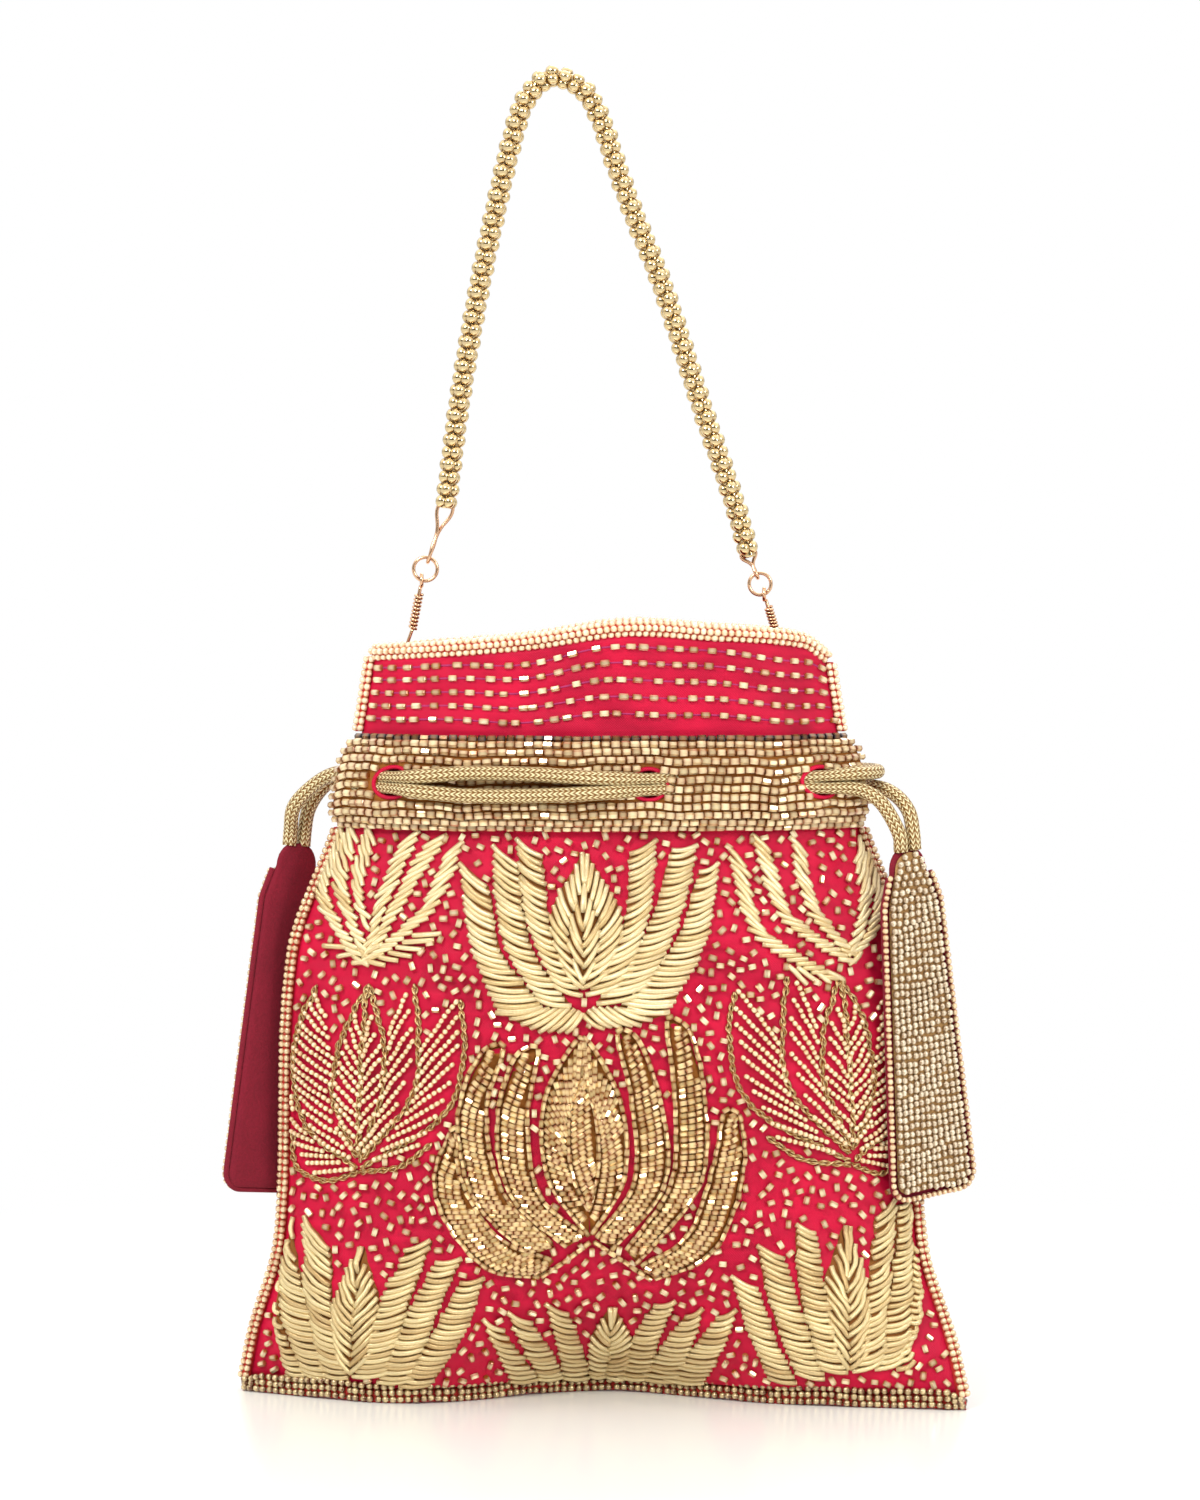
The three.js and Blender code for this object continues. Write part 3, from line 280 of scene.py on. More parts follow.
# The plain weave of the silk with its thicker threads, on the cloth's own across and up
cloth_weave, given, made = new_group(
    "cloth_weave", {"Threads per metre": 2400.0, "Slub": 0.5}, {"Height": "Float", "Shade": "Float"})
cloth_place = node(cloth_weave, "TexCoord").outputs["Object"]
spot = node(cloth_weave, "SeparateXYZ", i0=cloth_place)
pitch = sum_up(cloth_weave, "MULTIPLY", given["Threads per metre"], 2 * math.pi)
warp = sum_up(cloth_weave, "SINE", sum_up(cloth_weave, "MULTIPLY", spot.outputs["X"], pitch))
weft = sum_up(cloth_weave, "SINE", sum_up(cloth_weave, "MULTIPLY", spot.outputs["Z"], pitch))
crossing = sum_up(cloth_weave, "MULTIPLY_ADD", sum_up(cloth_weave, "MULTIPLY", warp, weft), 0.5, 0.5)
long_way = node(cloth_weave, "CombineXYZ", X=sum_up(cloth_weave, "MULTIPLY", spot.outputs["X"], 60.0),
                Y=sum_up(cloth_weave, "MULTIPLY", spot.outputs["Y"], 60.0),
                Z=sum_up(cloth_weave, "MULTIPLY", spot.outputs["Z"], 900.0))
slub = node(cloth_weave, "TexNoise", Vector=long_way.outputs[0], Scale=1.0, Detail=2.0)
patch = node(cloth_weave, "TexNoise", Vector=cloth_place, Scale=60.0, Detail=3.0)
slubby = sum_up(cloth_weave, "MULTIPLY", slub.outputs["Fac"], given["Slub"])
cloth_weave.links.new(sum_up(cloth_weave, "ADD", crossing, slubby), made["Height"])
slub_shade = sum_up(cloth_weave, "MULTIPLY", slubby, 0.6)
uneven = sum_up(cloth_weave, "MULTIPLY_ADD", patch.outputs["Fac"], 0.9, slub_shade)
uneven = sum_up(cloth_weave, "SUBTRACT", uneven, 0.2)
cloth_weave.links.new(sum_up(cloth_weave, "MULTIPLY_ADD", crossing, 0.45, uneven), made["Shade"])


def woven_cloth(name, shade, light, threads, slub_share, roughness, sheen):
    """A cloth with its weave raised and its colour uneven."""
    cloth, tree, output = new_material(name)
    weaving = node(tree, "Group", {"node_tree": cloth_weave}, Threads_per_metre=threads, Slub=slub_share)
    bump = node(tree, "Bump", Strength=0.35, Distance=0.0002, Height=weaving.outputs["Height"])
    colour = mixed(tree, weaving.outputs["Shade"], dye(shade), dye(light))
    cover = node(tree, "BsdfPrincipled", Base_Color=colour, Roughness=roughness, Specular_IOR_Level=0.18,
                 Sheen_Weight=sheen, Sheen_Roughness=0.4, Sheen_Tint=dye("ff7078"), Normal=bump.outputs[0])
    tree.links.new(cover.outputs[0], output.inputs["Surface"])
    return cloth


red_silk = woven_cloth("red_silk", "7c0222", "de1040", 1500.0, 0.5, 0.5, 0.08)


def panel(name, side):
    angle, height = np.meshgrid(np.linspace(-math.pi / 2, math.pi / 2, 141),
                                np.linspace(SEAM_HEIGHT, RIM_HEIGHT, 121))
    out = relief(angle, height, side)
    if side == BACK:
        angle, out = angle[:, ::-1], out[:, ::-1]
    inner = pouch(angle, height, side, out - PANEL_CLOTH)
    points, faces = sheet_between(pouch(angle, height, side, out), inner)
    cloth = make_piece(name + "_silk", points, faces, red_silk, node_names=[name], slot="red_silk")


for panel_name, panel_side in [("front_panel", FRONT), ("back_panel", BACK)]:
    panel(panel_name, panel_side)


# The lining: a tube of thin red satin inside the panels, a little wrinkled. It is sewn shut at its foot,
# caught under the rim, and shows in the mouth of the bag.
LINING_FOOT = 30.0
LINING_TOP = 202.0
LINING_OUT = -2.8
LINING_CLOTH = 0.8
lining_satin = woven_cloth("lining_satin", "8a0c26", "c21f42", 3200.0, 0.2, 0.4, 0.2)
around = np.linspace(-math.pi / 2, math.pi / 2, 61)
lining_rings = []
for inset, heights in [(0, np.linspace(LINING_FOOT, LINING_TOP, 30)),
                       (LINING_CLOTH, np.linspace(LINING_TOP, LINING_FOOT + LINING_CLOTH, 30))]:
    for height in heights:
        wrinkle = 0.25 * np.sin(0.35 * height + 9 * around[:-1])
        near = pouch(around[:-1], height, FRONT, LINING_OUT - inset + wrinkle)
        back = pouch(around[:0:-1], height, BACK, LINING_OUT - inset + wrinkle[::-1])
        lining_rings.append(np.concatenate([near, back]))
lining_points = np.concatenate(lining_rings)
ring_count = len(lining_rings[0])
corner = np.arange(len(lining_points)).reshape(-1, ring_count)
turned = np.roll(corner, -1, axis=1)
lining_faces = np.stack([corner[:-1], turned[:-1], turned[1:], corner[1:]], -1).reshape(-1, 4)
lining = make_piece("lining_tube", lining_points,
                    [lining_faces, corner[0][None, ::-1], corner[-1][None, :]],
                    lining_satin, node_names=["lining"], slot="lining_cloth")


# The casing: a strip of close bead rows sewn round the neck on an amber ground, puffed over the cords.
# Twelve rows of cut glass tube beads lined with gold; the top row, where the casing turns over, has darker
# beads as painted shade. Three slits in the front, edged with the red silk, let the cords out.
CASING_EDGE = 1.9
CASING_DEPTH = 7.2
CASING_ROWS = 12
BEAD_LENGTH = 2.5
BEAD_RADIUS = 1.0
FRONT_SLITS = [-0.77, 0.18, 0.82]
SLIT_HALF_LENGTH = 4.4
SLIT_HALF_HEIGHT = 3.9
LIP_GROWTH = 0.3
LIP_RADIUS = 0.6
CASING_HEIGHT = CASING_TOP - CASING_FOOT
CASING_MIDDLE = (CASING_FOOT + CASING_TOP) / 2


def puff(row):
    return CASING_EDGE + (CASING_DEPTH - CASING_EDGE) * (1 - np.abs(2 * row - 1) ** 4) ** 0.8


def tube_shape(sides, profile):
    """A closed shape turned about X through a profile of (place along, radius)."""
    turn = np.arange(sides) / sides * 2 * math.pi
    rings = [np.stack([np.full(sides, x), r * np.cos(turn), r * np.sin(turn)], -1) for x, r in profile]
    corner = np.arange(sides * len(profile)).reshape(-1, sides)
    turned = np.roll(corner, -1, axis=1)
    walls = np.stack([corner[:-1], corner[1:], turned[1:], turned[:-1]], -1).reshape(-1, 4)
    return np.concatenate(rings), [walls, corner[0][None, :], corner[-1][None, ::-1]]


CUT_BEAD = tube_shape(6, [(-0.5, 0.78), (-0.45, 1.0), (0, 1.0), (0.45, 1.0), (0.5, 0.78)])


def frames_along(along, out):
    """Bead frames: X along the thread, Z away from the cloth."""
    along = along / np.linalg.norm(along, axis=-1, keepdims=True)
    out = out - np.sum(out * along, -1, keepdims=True) * along
    out = out / np.linalg.norm(out, axis=-1, keepdims=True)
    return np.stack([along, np.cross(out, along), out], -1)


def strew(shape, places, frames, lengths, radii):
    """Many copies of a shape as one mesh's points and faces."""
    points, faces = shape
    sizes = np.stack([lengths, radii, radii], -1)
    laid = np.einsum("nij,nkj->nki", frames, points[None] * sizes[:, None, :]) + places[:, None, :]
    shift = (np.arange(len(places)) * len(points))[:, None, None]
    return laid.reshape(-1, 3), [(f[None] + shift).reshape(-1, f.shape[1]) for f in faces]


def bead_piece(name, shape, places, along, out, material, seed, length=BEAD_LENGTH, radius=BEAD_RADIUS,
               **more):
    """Beads at places on the cloth, each a little uneven in size, turn and tone."""
    dice = np.random.default_rng(seed)
    count = len(places)
    frames = frames_along(np.asarray(along, float), np.asarray(out, float))
    spin = dice.uniform(0, math.pi / 3, count)
    side, up = frames[:, :, 1].copy(), frames[:, :, 2].copy()
    frames[:, :, 1] = side * np.cos(spin)[:, None] + up * np.sin(spin)[:, None]
    frames[:, :, 2] = up * np.cos(spin)[:, None] - side * np.sin(spin)[:, None]
    lengths = length * dice.uniform(0.88, 1.06, count)
    radii = radius * dice.uniform(0.92, 1.06, count)
    points, faces = strew(shape, places, frames, lengths, radii)
    tone = np.repeat(dice.uniform(0, 1, count), len(shape[0]))
    # rim marks each bead's ends, which the glass colour paints deep amber: partly the bare glass, partly
    # painted shade.
    rim = np.tile((np.abs(shape[0][:, 0]) > 0.33).astype(float), count)
    return make_piece(name, points, faces, material, smooth=shape is not CUT_BEAD, tone=tone, rim=rim, **more)


# The look of lined glass: pale along the middle, a painted highlight of the shining lining, deep amber at the
# ends, partly the bare glass there and partly painted shade, and deep where it is worn
lined_glass, given, made = new_group(
    "lined_glass", {"Pale": dye("f6e3b8"), "Deep": dye("8a4a16"), "Depth": 0.5},
    {"Color": "Color", "Roughness": "Float"})
tone = node(lined_glass, "Attribute", {"attribute_name": "tone"}).outputs["Fac"]
rim = node(lined_glass, "Attribute", {"attribute_name": "rim"}).outputs["Fac"]
streak = node(lined_glass, "TexNoise", Vector=node(lined_glass, "TexCoord").outputs["Object"], Scale=900.0,
              Detail=1.0).outputs["Fac"]
# The deep ends are partly bare glass and partly painted shade, leaving a painted highlight along the middle;
# streak and tone are random wear.
ends = sum_up(lined_glass, "POWER", rim, 2.0)
wear_and_end_shade = sum_up(lined_glass, "MULTIPLY_ADD", ends, 0.6, sum_up(lined_glass, "MULTIPLY", streak, 0.25))
wear_and_end_shade = sum_up(lined_glass, "MULTIPLY_ADD", tone, 0.45, wear_and_end_shade)
wear_and_end_shade = sum_up(lined_glass, "MULTIPLY", wear_and_end_shade, given["Depth"])
lined_glass.links.new(mixed(lined_glass, wear_and_end_shade, given["Pale"], given["Deep"]), made["Color"])
lined_glass.links.new(sum_up(lined_glass, "MULTIPLY_ADD", streak, 0.2, 0.06), made["Roughness"])


def bead_glass(name, pale, deep, depth, metal, coat=0.6):
    glass, tree, output = new_material(name)
    look = node(tree, "Group", {"node_tree": lined_glass}, Pale=dye(pale), Deep=dye(deep), Depth=depth)
    body = node(tree, "BsdfPrincipled", Base_Color=look.outputs["Color"], Roughness=look.outputs["Roughness"],
                Metallic=metal, Coat_Weight=coat, Coat_Roughness=0.06)
    tree.links.new(body.outputs[0], output.inputs["Surface"])
    return glass


gold_tube_bead = bead_glass("gold_tube_bead", "ffeab8", "8a4410", 0.85, 0.4, 1.0)
# A darker copy of the gold tube bead: painted shade for the casing's top row, where it turns over.
shaded_tube_bead = bead_glass("shaded_tube_bead", "b08050", "2a1420", 1.0, 0.5, 1.0)
amber_ground = woven_cloth("amber_ground", "6e3410", "b0702c", 1800.0, 0.4, 0.7, 0.0)


def slit_turn(centre, grow):
    """Half the angle that a slit takes up round the casing."""
    return (SLIT_HALF_LENGTH + grow) / (through(HALF_WIDTHS, CASING_MIDDLE) * math.cos(centre))


def in_slit(angle, height, side, grow=0.0):
    """Whether a place on the casing lies in one of the front slits."""
    inside = np.zeros(np.broadcast(angle, height).shape, bool)
    for across in FRONT_SLITS if side == FRONT else []:
        centre = math.asin(across)
        along = (angle - centre) / slit_turn(centre, grow)
        inside |= along ** 2 + ((height - CASING_MIDDLE) / (SLIT_HALF_HEIGHT + grow)) ** 2 < 1
    return inside


def casing_wave(angle):
    """How the bead rows of the casing rise and fall."""
    return 0.5 * np.sin(6 * angle + 1) + 0.35 * np.sin(15 * angle) + 0.2 * np.sin(31 * angle + 2)


def casing_out(row, angle):
    return puff(row) - BEAD_RADIUS + 0.35 * np.sin(23 * angle) * np.sin(math.pi * row)


def walk(line, gap):
    """Places at equal distances along a line of points, their directions and shares of its points."""
    run = np.concatenate([[0], np.cumsum(np.linalg.norm(np.diff(line, axis=0), axis=1))])
    stops = np.arange(gap / 2, run[-1], gap)
    at = np.stack([np.interp(stops, run, line[:, k]) for k in range(3)], -1)
    ahead = np.stack([np.interp(stops + 0.4, run, line[:, k]) for k in range(3)], -1)
    behind = np.stack([np.interp(stops - 0.4, run, line[:, k]) for k in range(3)], -1)
    return at, ahead - behind, np.interp(stops, run, np.linspace(0, 1, len(line)))


def casing(word, side, span):
    angle, row = np.meshgrid(np.radians(np.linspace(-span, span, 181)), np.linspace(0, 1, 41))
    height = CASING_FOOT + CASING_HEIGHT * row
    shape = (row.shape[0] - 1, row.shape[1] - 1)
    if side == BACK:
        angle = angle[:, ::-1]
    ground = pouch(angle, height, side, casing_out(row, angle) - 0.45)
    under = pouch(angle, height, side, np.maximum(casing_out(row, angle) - 1.3, 0.35))
    points, faces = sheet_between(ground, under)
    if side == FRONT:
        squares = shape[0] * shape[1]
        mid_angle = (angle[:-1, :-1] + angle[1:, 1:]) / 2
        mid_height = (height[:-1, :-1] + height[1:, 1:]) / 2
        open_square = in_slit(mid_angle, mid_height, side).ravel()
        keep = np.ones(len(faces[0]), bool)
        keep[:squares] = ~open_square
        keep[squares:2 * squares] = ~open_square
        cut = faces[0][:squares][open_square]
        edges = {(a, b) for square in cut.tolist() for a, b in zip(square, square[1:] + square[:1])}
        layer = len(points) // 2
        lips = np.array([(a, b, b + layer, a + layer) for a, b in sorted(edges) if (b, a) not in edges])
        faces = [np.concatenate([faces[0][keep], lips])]
    cloth = make_piece(word + "_casing_ground", points, faces, amber_ground, node_names=[word + "_casing"],
                       slot="gold_beads")
    profile = np.linspace(0, 1, 400)
    across_cloth = np.concatenate([[0], np.cumsum(np.hypot(
        np.diff(profile) * CASING_HEIGHT, np.diff(puff(profile))))])
    rows = np.interp((np.arange(CASING_ROWS) + 0.5) / CASING_ROWS * across_cloth[-1], across_cloth, profile)
    spots, ways, outs, dark = [], [], [], []
    turn = np.radians(np.linspace(-span, span, 600))
    for number, row in enumerate(rows):
        height = CASING_FOOT + CASING_HEIGHT * row + casing_wave(turn) * np.sin(math.pi * row)
        line = pouch(turn, height, side, casing_out(row, turn) + 0.25)
        at, way, share = walk(line, BEAD_LENGTH * 1.05)
        here = np.interp(share, np.linspace(0, 1, 600), turn)
        level = np.interp(share, np.linspace(0, 1, 600), height)
        lift = pouch(here, level, side, 12.0) - pouch(here, level, side, 0.0)
        slope = 0.0
        if 0.01 < row < 0.99:
            slope = (puff(row + 0.004) - puff(row - 0.004)) / (0.008 * CASING_HEIGHT)
        lift = lift / np.linalg.norm(lift, axis=1, keepdims=True)
        lift = lift + np.array([0, 0, -1]) * np.clip(slope, -3, 3)
        shown = ~in_slit(here, level, side, 0.7)
        spots.append(at[shown])
        ways.append(way[shown])
        outs.append(lift[shown])
        # The top row takes the darker bead as painted shade.
        dark.append(np.full(shown.sum(), number == CASING_ROWS - 1))
    spots, ways, outs, dark = (np.concatenate(v) for v in (spots, ways, outs, dark))
    for kind, chosen, glass, seed in [("beads", ~dark, gold_tube_bead, 11),
                                      ("shaded_row", dark, shaded_tube_bead, 21)]:
        bead_piece(f"{word}_casing_{kind}", CUT_BEAD, spots[chosen], ways[chosen], outs[chosen], glass,
                   seed + side, slot="gold_beads")


def tube_along(line, radius, sides, loops=False):
    """A round tube along a line: points, faces, the run along it and the turn round it."""
    way = np.roll(line, -1, axis=0) - np.roll(line, 1, axis=0) if loops else np.gradient(line, axis=0)
    way = way / np.linalg.norm(way, axis=1, keepdims=True)
    aside = np.cross(way[0], [0.13, 0.97, 0.2])
    sides_on = []
    for ahead in way:
        aside = aside - (aside @ ahead) * ahead
        aside = aside / np.linalg.norm(aside)
        sides_on.append(aside)
    sides_on = np.array(sides_on)
    up = np.cross(way, sides_on)
    turn = np.arange(sides) / sides * 2 * math.pi
    radius = np.broadcast_to(np.asarray(radius, float), (len(line),))[:, None, None]
    points = line[:, None] + radius * (np.cos(turn)[None, :, None] * sides_on[:, None]
                                       + np.sin(turn)[None, :, None] * up[:, None])
    corner = np.arange(len(line) * sides).reshape(-1, sides)
    turned = np.roll(corner, -1, axis=1)
    if loops:
        walls = np.stack([corner, turned, np.roll(turned, -1, 0), np.roll(corner, -1, 0)], -1).reshape(-1, 4)
        faces = [walls]
    else:
        walls = np.stack([corner[:-1], turned[:-1], turned[1:], corner[1:]], -1).reshape(-1, 4)
        faces = [walls, corner[0][None, ::-1], corner[-1][None, :]]
    run = np.concatenate([[0], np.cumsum(np.linalg.norm(np.diff(line, axis=0), axis=1))])
    return points.reshape(-1, 3), faces, np.repeat(run, sides), np.tile(np.arange(sides) / sides, len(line))


def slit_lip(name, across):
    """The rolled red edge of a slit."""
    turn = np.arange(48) / 48 * 2 * math.pi
    centre = math.asin(across)
    angle = centre + slit_turn(centre, LIP_GROWTH) * np.cos(turn)
    height = CASING_MIDDLE + (SLIT_HALF_HEIGHT + LIP_GROWTH) * np.sin(turn)
    row = (height - CASING_FOOT) / CASING_HEIGHT
    ring = pouch(angle, height, FRONT, casing_out(row, angle) - 0.3)
    points, faces, _, _ = tube_along(ring, LIP_RADIUS, 8, loops=True)
    make_piece(name, points, faces, red_silk, slot="red_silk")


casing("front", FRONT, 80)
casing("back", BACK, 65)
for number, across in enumerate(FRONT_SLITS):
    slit_lip(f"slit_edge_{number + 1}", across)


# The drawstrings: two loops of gold cord, knitted round like a shoelace, threaded through the casing
# from opposite sides. Each leaves the casing as a pair of strands that are sewn into a tab.
CORD_RADIUS = 2.0
CORD_IN = 2.9
CORD_OUT = 9.95
CORD_AT_SLIT = 6.1
STRAND_ASIDE = 2.3
CORD_UPPER = 172.8
CORD_LOWER = 168.2
SLIT_REACH = 10.5
TAB_YAW = math.radians(35)
TAB_LEAN = math.radians(5.7)
TAB_TOPS = {"right": np.array([84.5, -9.0, 146.0]), "left": np.array([-84.5, 9.0, 146.0])}
slit_degrees = [math.degrees(math.asin(across)) for across in FRONT_SLITS]


def on_neck(side, degrees, height, out):
    return pouch(math.radians(degrees), height, side, out)


def tab_frame(hand):
    """The turn of a tab: X across it, -Y out of its beaded face, Z up."""
    yaw = TAB_YAW + (math.pi if hand == "left" else 0)
    about_z = np.array([[math.cos(yaw), -math.sin(yaw), 0], [math.sin(yaw), math.cos(yaw), 0], [0, 0, 1]])
    about_y = np.array([[math.cos(TAB_LEAN), 0, -math.sin(TAB_LEAN)], [0, 1, 0],
                        [math.sin(TAB_LEAN), 0, math.cos(TAB_LEAN)]])
    return about_z @ about_y


def on_tab(hand, points):
    return np.asarray(points, float) @ tab_frame(hand).T + TAB_TOPS[hand]


def to_tab(hand, place):
    return list(on_tab(hand, [(place * STRAND_ASIDE, 0, z) for z in (9.9, 6.9, 5.6)]))


def front_stretch(height):
    """The run across the front: the cords draw together at the slits and bow apart between them."""
    first, second, third = slit_degrees
    off = height - CASING_MIDDLE
    stops = [(first - SLIT_REACH, CORD_IN, 0.75), (first, CORD_AT_SLIT, 0.65),
             (first + SLIT_REACH, CORD_OUT, 0.85), (-28, CORD_OUT, 1.3), (-14, CORD_OUT, 1.25),
             (second - SLIT_REACH, CORD_OUT, 0.85), (second, CORD_AT_SLIT, 0.65),
             (second + SLIT_REACH, CORD_IN, 0.75), (26, CORD_IN, 1), (34, CORD_IN, 1), (42, CORD_IN, 1),
             (third - SLIT_REACH, CORD_IN, 0.75), (third, CORD_AT_SLIT + 0.3, 0.7),
             (third + SLIT_REACH, CORD_OUT, 1)]
    return [on_neck(FRONT, degrees, CASING_MIDDLE + off * apart, out) for degrees, out, apart in stops]


def in_channel(side, degrees, height):
    return [on_neck(side, d, height, CORD_IN) for d in degrees]


def at_level(height, flat):
    return [np.array([x, y, height]) for x, y in flat]


back_stops = list(range(-60, 61, 8))
lower_route = (
    to_tab("right", -1)[::-1]
    + [np.array([76.5, -9.3, 165.0])]
    + front_stretch(CORD_LOWER)[::-1]
    + at_level(CORD_LOWER, [(-66, -6.3), (-69.2, -2.2), (-69.4, 3), (-66, 7.3)])
    + in_channel(BACK, back_stops, CORD_LOWER)
    + [np.array([67.0, 5.6, 168.6]), np.array([79.0, -2.2, 167.6]), np.array([84.3, -7.0, 162.4])]
    + to_tab("right", 1)
)
upper_route = (
    to_tab("left", 1)[::-1]
    + [np.array([-84.5, 5.5, 162.5]), np.array([-79.0, 2.7, 168.6]), np.array([-73.2, -0.4, 172.0])]
    + in_channel(FRONT, [-67], CORD_UPPER)
    + front_stretch(CORD_UPPER)
    + at_level(CORD_UPPER, [(73.1, -7), (76, -2.6), (75.8, 2.5), (72.5, 6.6)])
    + in_channel(BACK, back_stops[::-1], CORD_UPPER)
    + [np.array([-68.6, 7.4, 172.4]), np.array([-76.0, 8.8, 168.4]), np.array([-80.5, 10.0, 162.0])]
    + to_tab("left", -1)
)


def smooth_run(points, gap):
    """A smooth line through given points, then points at equal gaps along it."""
    p = np.array(points, float)
    p = np.vstack([2 * p[0] - p[1], p, 2 * p[-1] - p[-2]])
    d = np.sqrt(np.linalg.norm(np.diff(p, axis=0), axis=1))
    t = np.linspace(0, 1, 24, endpoint=False)[:, None]
    line = []
    for i in range(1, len(p) - 2):
        d0, d1, d2 = d[i - 1], d[i], d[i + 1]
        start = ((p[i] - p[i - 1]) / d0 - (p[i + 1] - p[i - 1]) / (d0 + d1) + (p[i + 1] - p[i]) / d1) * d1
        end = ((p[i + 1] - p[i]) / d1 - (p[i + 2] - p[i]) / (d1 + d2) + (p[i + 2] - p[i + 1]) / d2) * d1
        line.append((2 * t ** 3 - 3 * t ** 2 + 1) * p[i] + (t ** 3 - 2 * t ** 2 + t) * start
                    + (3 * t ** 2 - 2 * t ** 3) * p[i + 1] + (t ** 3 - t ** 2) * end)
    line = np.concatenate(line + [p[-2:-1]])
    run = np.concatenate([[0], np.cumsum(np.linalg.norm(np.diff(line, axis=0), axis=1))])
    stops = np.linspace(0, run[-1], max(int(run[-1] / gap), 2) + 1)
    return np.stack([np.interp(stops, run, line[:, k]) for k in range(3)], -1)


# Knitted gold thread: columns of small slanting stitches round the cord; the colour follows the stitch
# relief, with painted shade where the columns meet and between stitches and a painted highlight on the stitch
# tops
knit_stitch, given, made = new_group(
    "knit_stitch", {"Columns": 8.0, "Stitch length": 1.5}, {"Height": "Float", "Shade": "Float"})
run = node(knit_stitch, "Attribute", {"attribute_name": "run"}).outputs["Fac"]
place_x = node(knit_stitch, "Attribute", {"attribute_name": "turn_x"}).outputs["Fac"]
place_y = node(knit_stitch, "Attribute", {"attribute_name": "turn_y"}).outputs["Fac"]
turn = sum_up(knit_stitch, "DIVIDE", sum_up(knit_stitch, "ARCTAN2", place_y, place_x), 2 * math.pi)
column = sum_up(knit_stitch, "FRACT", sum_up(knit_stitch, "MULTIPLY", turn, given["Columns"]))
off_middle = sum_up(knit_stitch, "ABSOLUTE", sum_up(knit_stitch, "SUBTRACT", column, 0.5))
slant = sum_up(knit_stitch, "MULTIPLY_ADD", off_middle, 1.6,
               sum_up(knit_stitch, "DIVIDE", run, given["Stitch length"]))
stitch = sum_up(knit_stitch, "SINE", sum_up(knit_stitch, "MULTIPLY", slant, 2 * math.pi))
groove = sum_up(knit_stitch, "POWER", sum_up(knit_stitch, "MULTIPLY", off_middle, 2.0), 5.0)
knit = sum_up(knit_stitch, "SUBTRACT", sum_up(knit_stitch, "MULTIPLY_ADD", stitch, 0.5, 0.5), groove)
knit_stitch.links.new(knit, made["Height"])
# Shade follows the relief: painted shade in the hollows, painted highlight on the stitch tops.
knit_stitch.links.new(sum_up(knit_stitch, "MAXIMUM", knit, 0.0), made["Shade"])


def knitted_gold(name, shade, light, metal, columns, stitch_length):
    """Gold thread worked in columns of stitches."""
    gold, tree, output = new_material(name)
    knitting = node(tree, "Group", {"node_tree": knit_stitch}, Columns=columns, Stitch_length=stitch_length)
    bump = node(tree, "Bump", Strength=0.8, Distance=0.0004, Height=knitting.outputs["Height"])
    # Mixing the colour by the stitch relief paints shade in the hollows and a highlight on the stitch tops.
    colour = mixed(tree, knitting.outputs["Shade"], dye(shade), dye(light))
    thread = node(tree, "BsdfPrincipled", Base_Color=colour, Metallic=metal, Roughness=0.38,
                  Normal=bump.outputs[0])
    tree.links.new(thread.outputs[0], output.inputs["Surface"])
    return gold


gold_cord = knitted_gold("gold_knit_cord", "8a5c1c", "fff0bc", 0.15, 8.0, 1.5)
slit_spots = [on_neck(FRONT, degrees, CASING_MIDDLE, 7.0) for degrees in slit_degrees]
for cord_name, route, stands_for in [
    ("lower_cord", lower_route, ["lower_drawstring", "right_front_strand", "right_back_strand"]),
    ("upper_cord", upper_route, ["upper_drawstring", "left_front_strand", "left_back_strand"]),
]:
    line = smooth_run(route, 0.9)
    gap = np.min([np.linalg.norm(line - spot, axis=1) for spot in slit_spots], axis=0)
    points, faces, run, turn = tube_along(line, CORD_RADIUS - 0.45 * np.exp(-(gap / 6) ** 2), 16)
    cord = make_piece(cord_name, points, faces, gold_cord, node_names=stands_for, slot="gold_braid", run=run,
                      turn_x=np.cos(turn * 2 * math.pi), turn_y=np.sin(turn * 2 * math.pi))
    length = np.linalg.norm(np.diff(line, axis=0), axis=1).sum() * 0.001


# The frill's running stitch: five rows of short gold beads on magenta thread, with a gap nearly as long as
# a bead between them. The rows wave softly where the cloth gathers.
magenta_thread, tree, output = new_material("magenta_thread")
twist = node(tree, "TexNoise", Vector=node(tree, "TexCoord").outputs["Object"], Scale=1500.0)
thread_colour = mixed(tree, twist.outputs["Fac"], dye("8e0f4c"), dye("c43078"))
strand = node(tree, "BsdfPrincipled", Base_Color=thread_colour, Roughness=0.6)
tree.links.new(strand.outputs[0], output.inputs["Surface"])
pale_tube_bead = bead_glass("pale_tube_bead", "ffeec4", "a0601c", 0.9, 0.4, 1.0)


def on_silk(angle, height, side, out):
    return pouch(angle, height, side, relief(angle, height, side) + out)


def lift_off(angle, height, side):
    """The way out of the cloth at each place."""
    small = 0.004
    east = pouch(angle + small, height, side, 0.0) - pouch(angle - small, height, side, 0.0)
    north = pouch(angle, height + 0.3, side, 0.0) - pouch(angle, height - 0.3, side, 0.0)
    out = np.cross(east, north) * (1 if side == FRONT else -1)
    return out / np.linalg.norm(out, axis=-1, keepdims=True)


def join_up(meshes):
    """Several meshes, each its points and its arrays of faces, as one."""
    counts = np.cumsum([0] + [len(mesh[0]) for mesh in meshes])
    faces = [f + start for mesh, start in zip(meshes, counts) for f in mesh[1]]
    return np.concatenate([mesh[0] for mesh in meshes]), faces


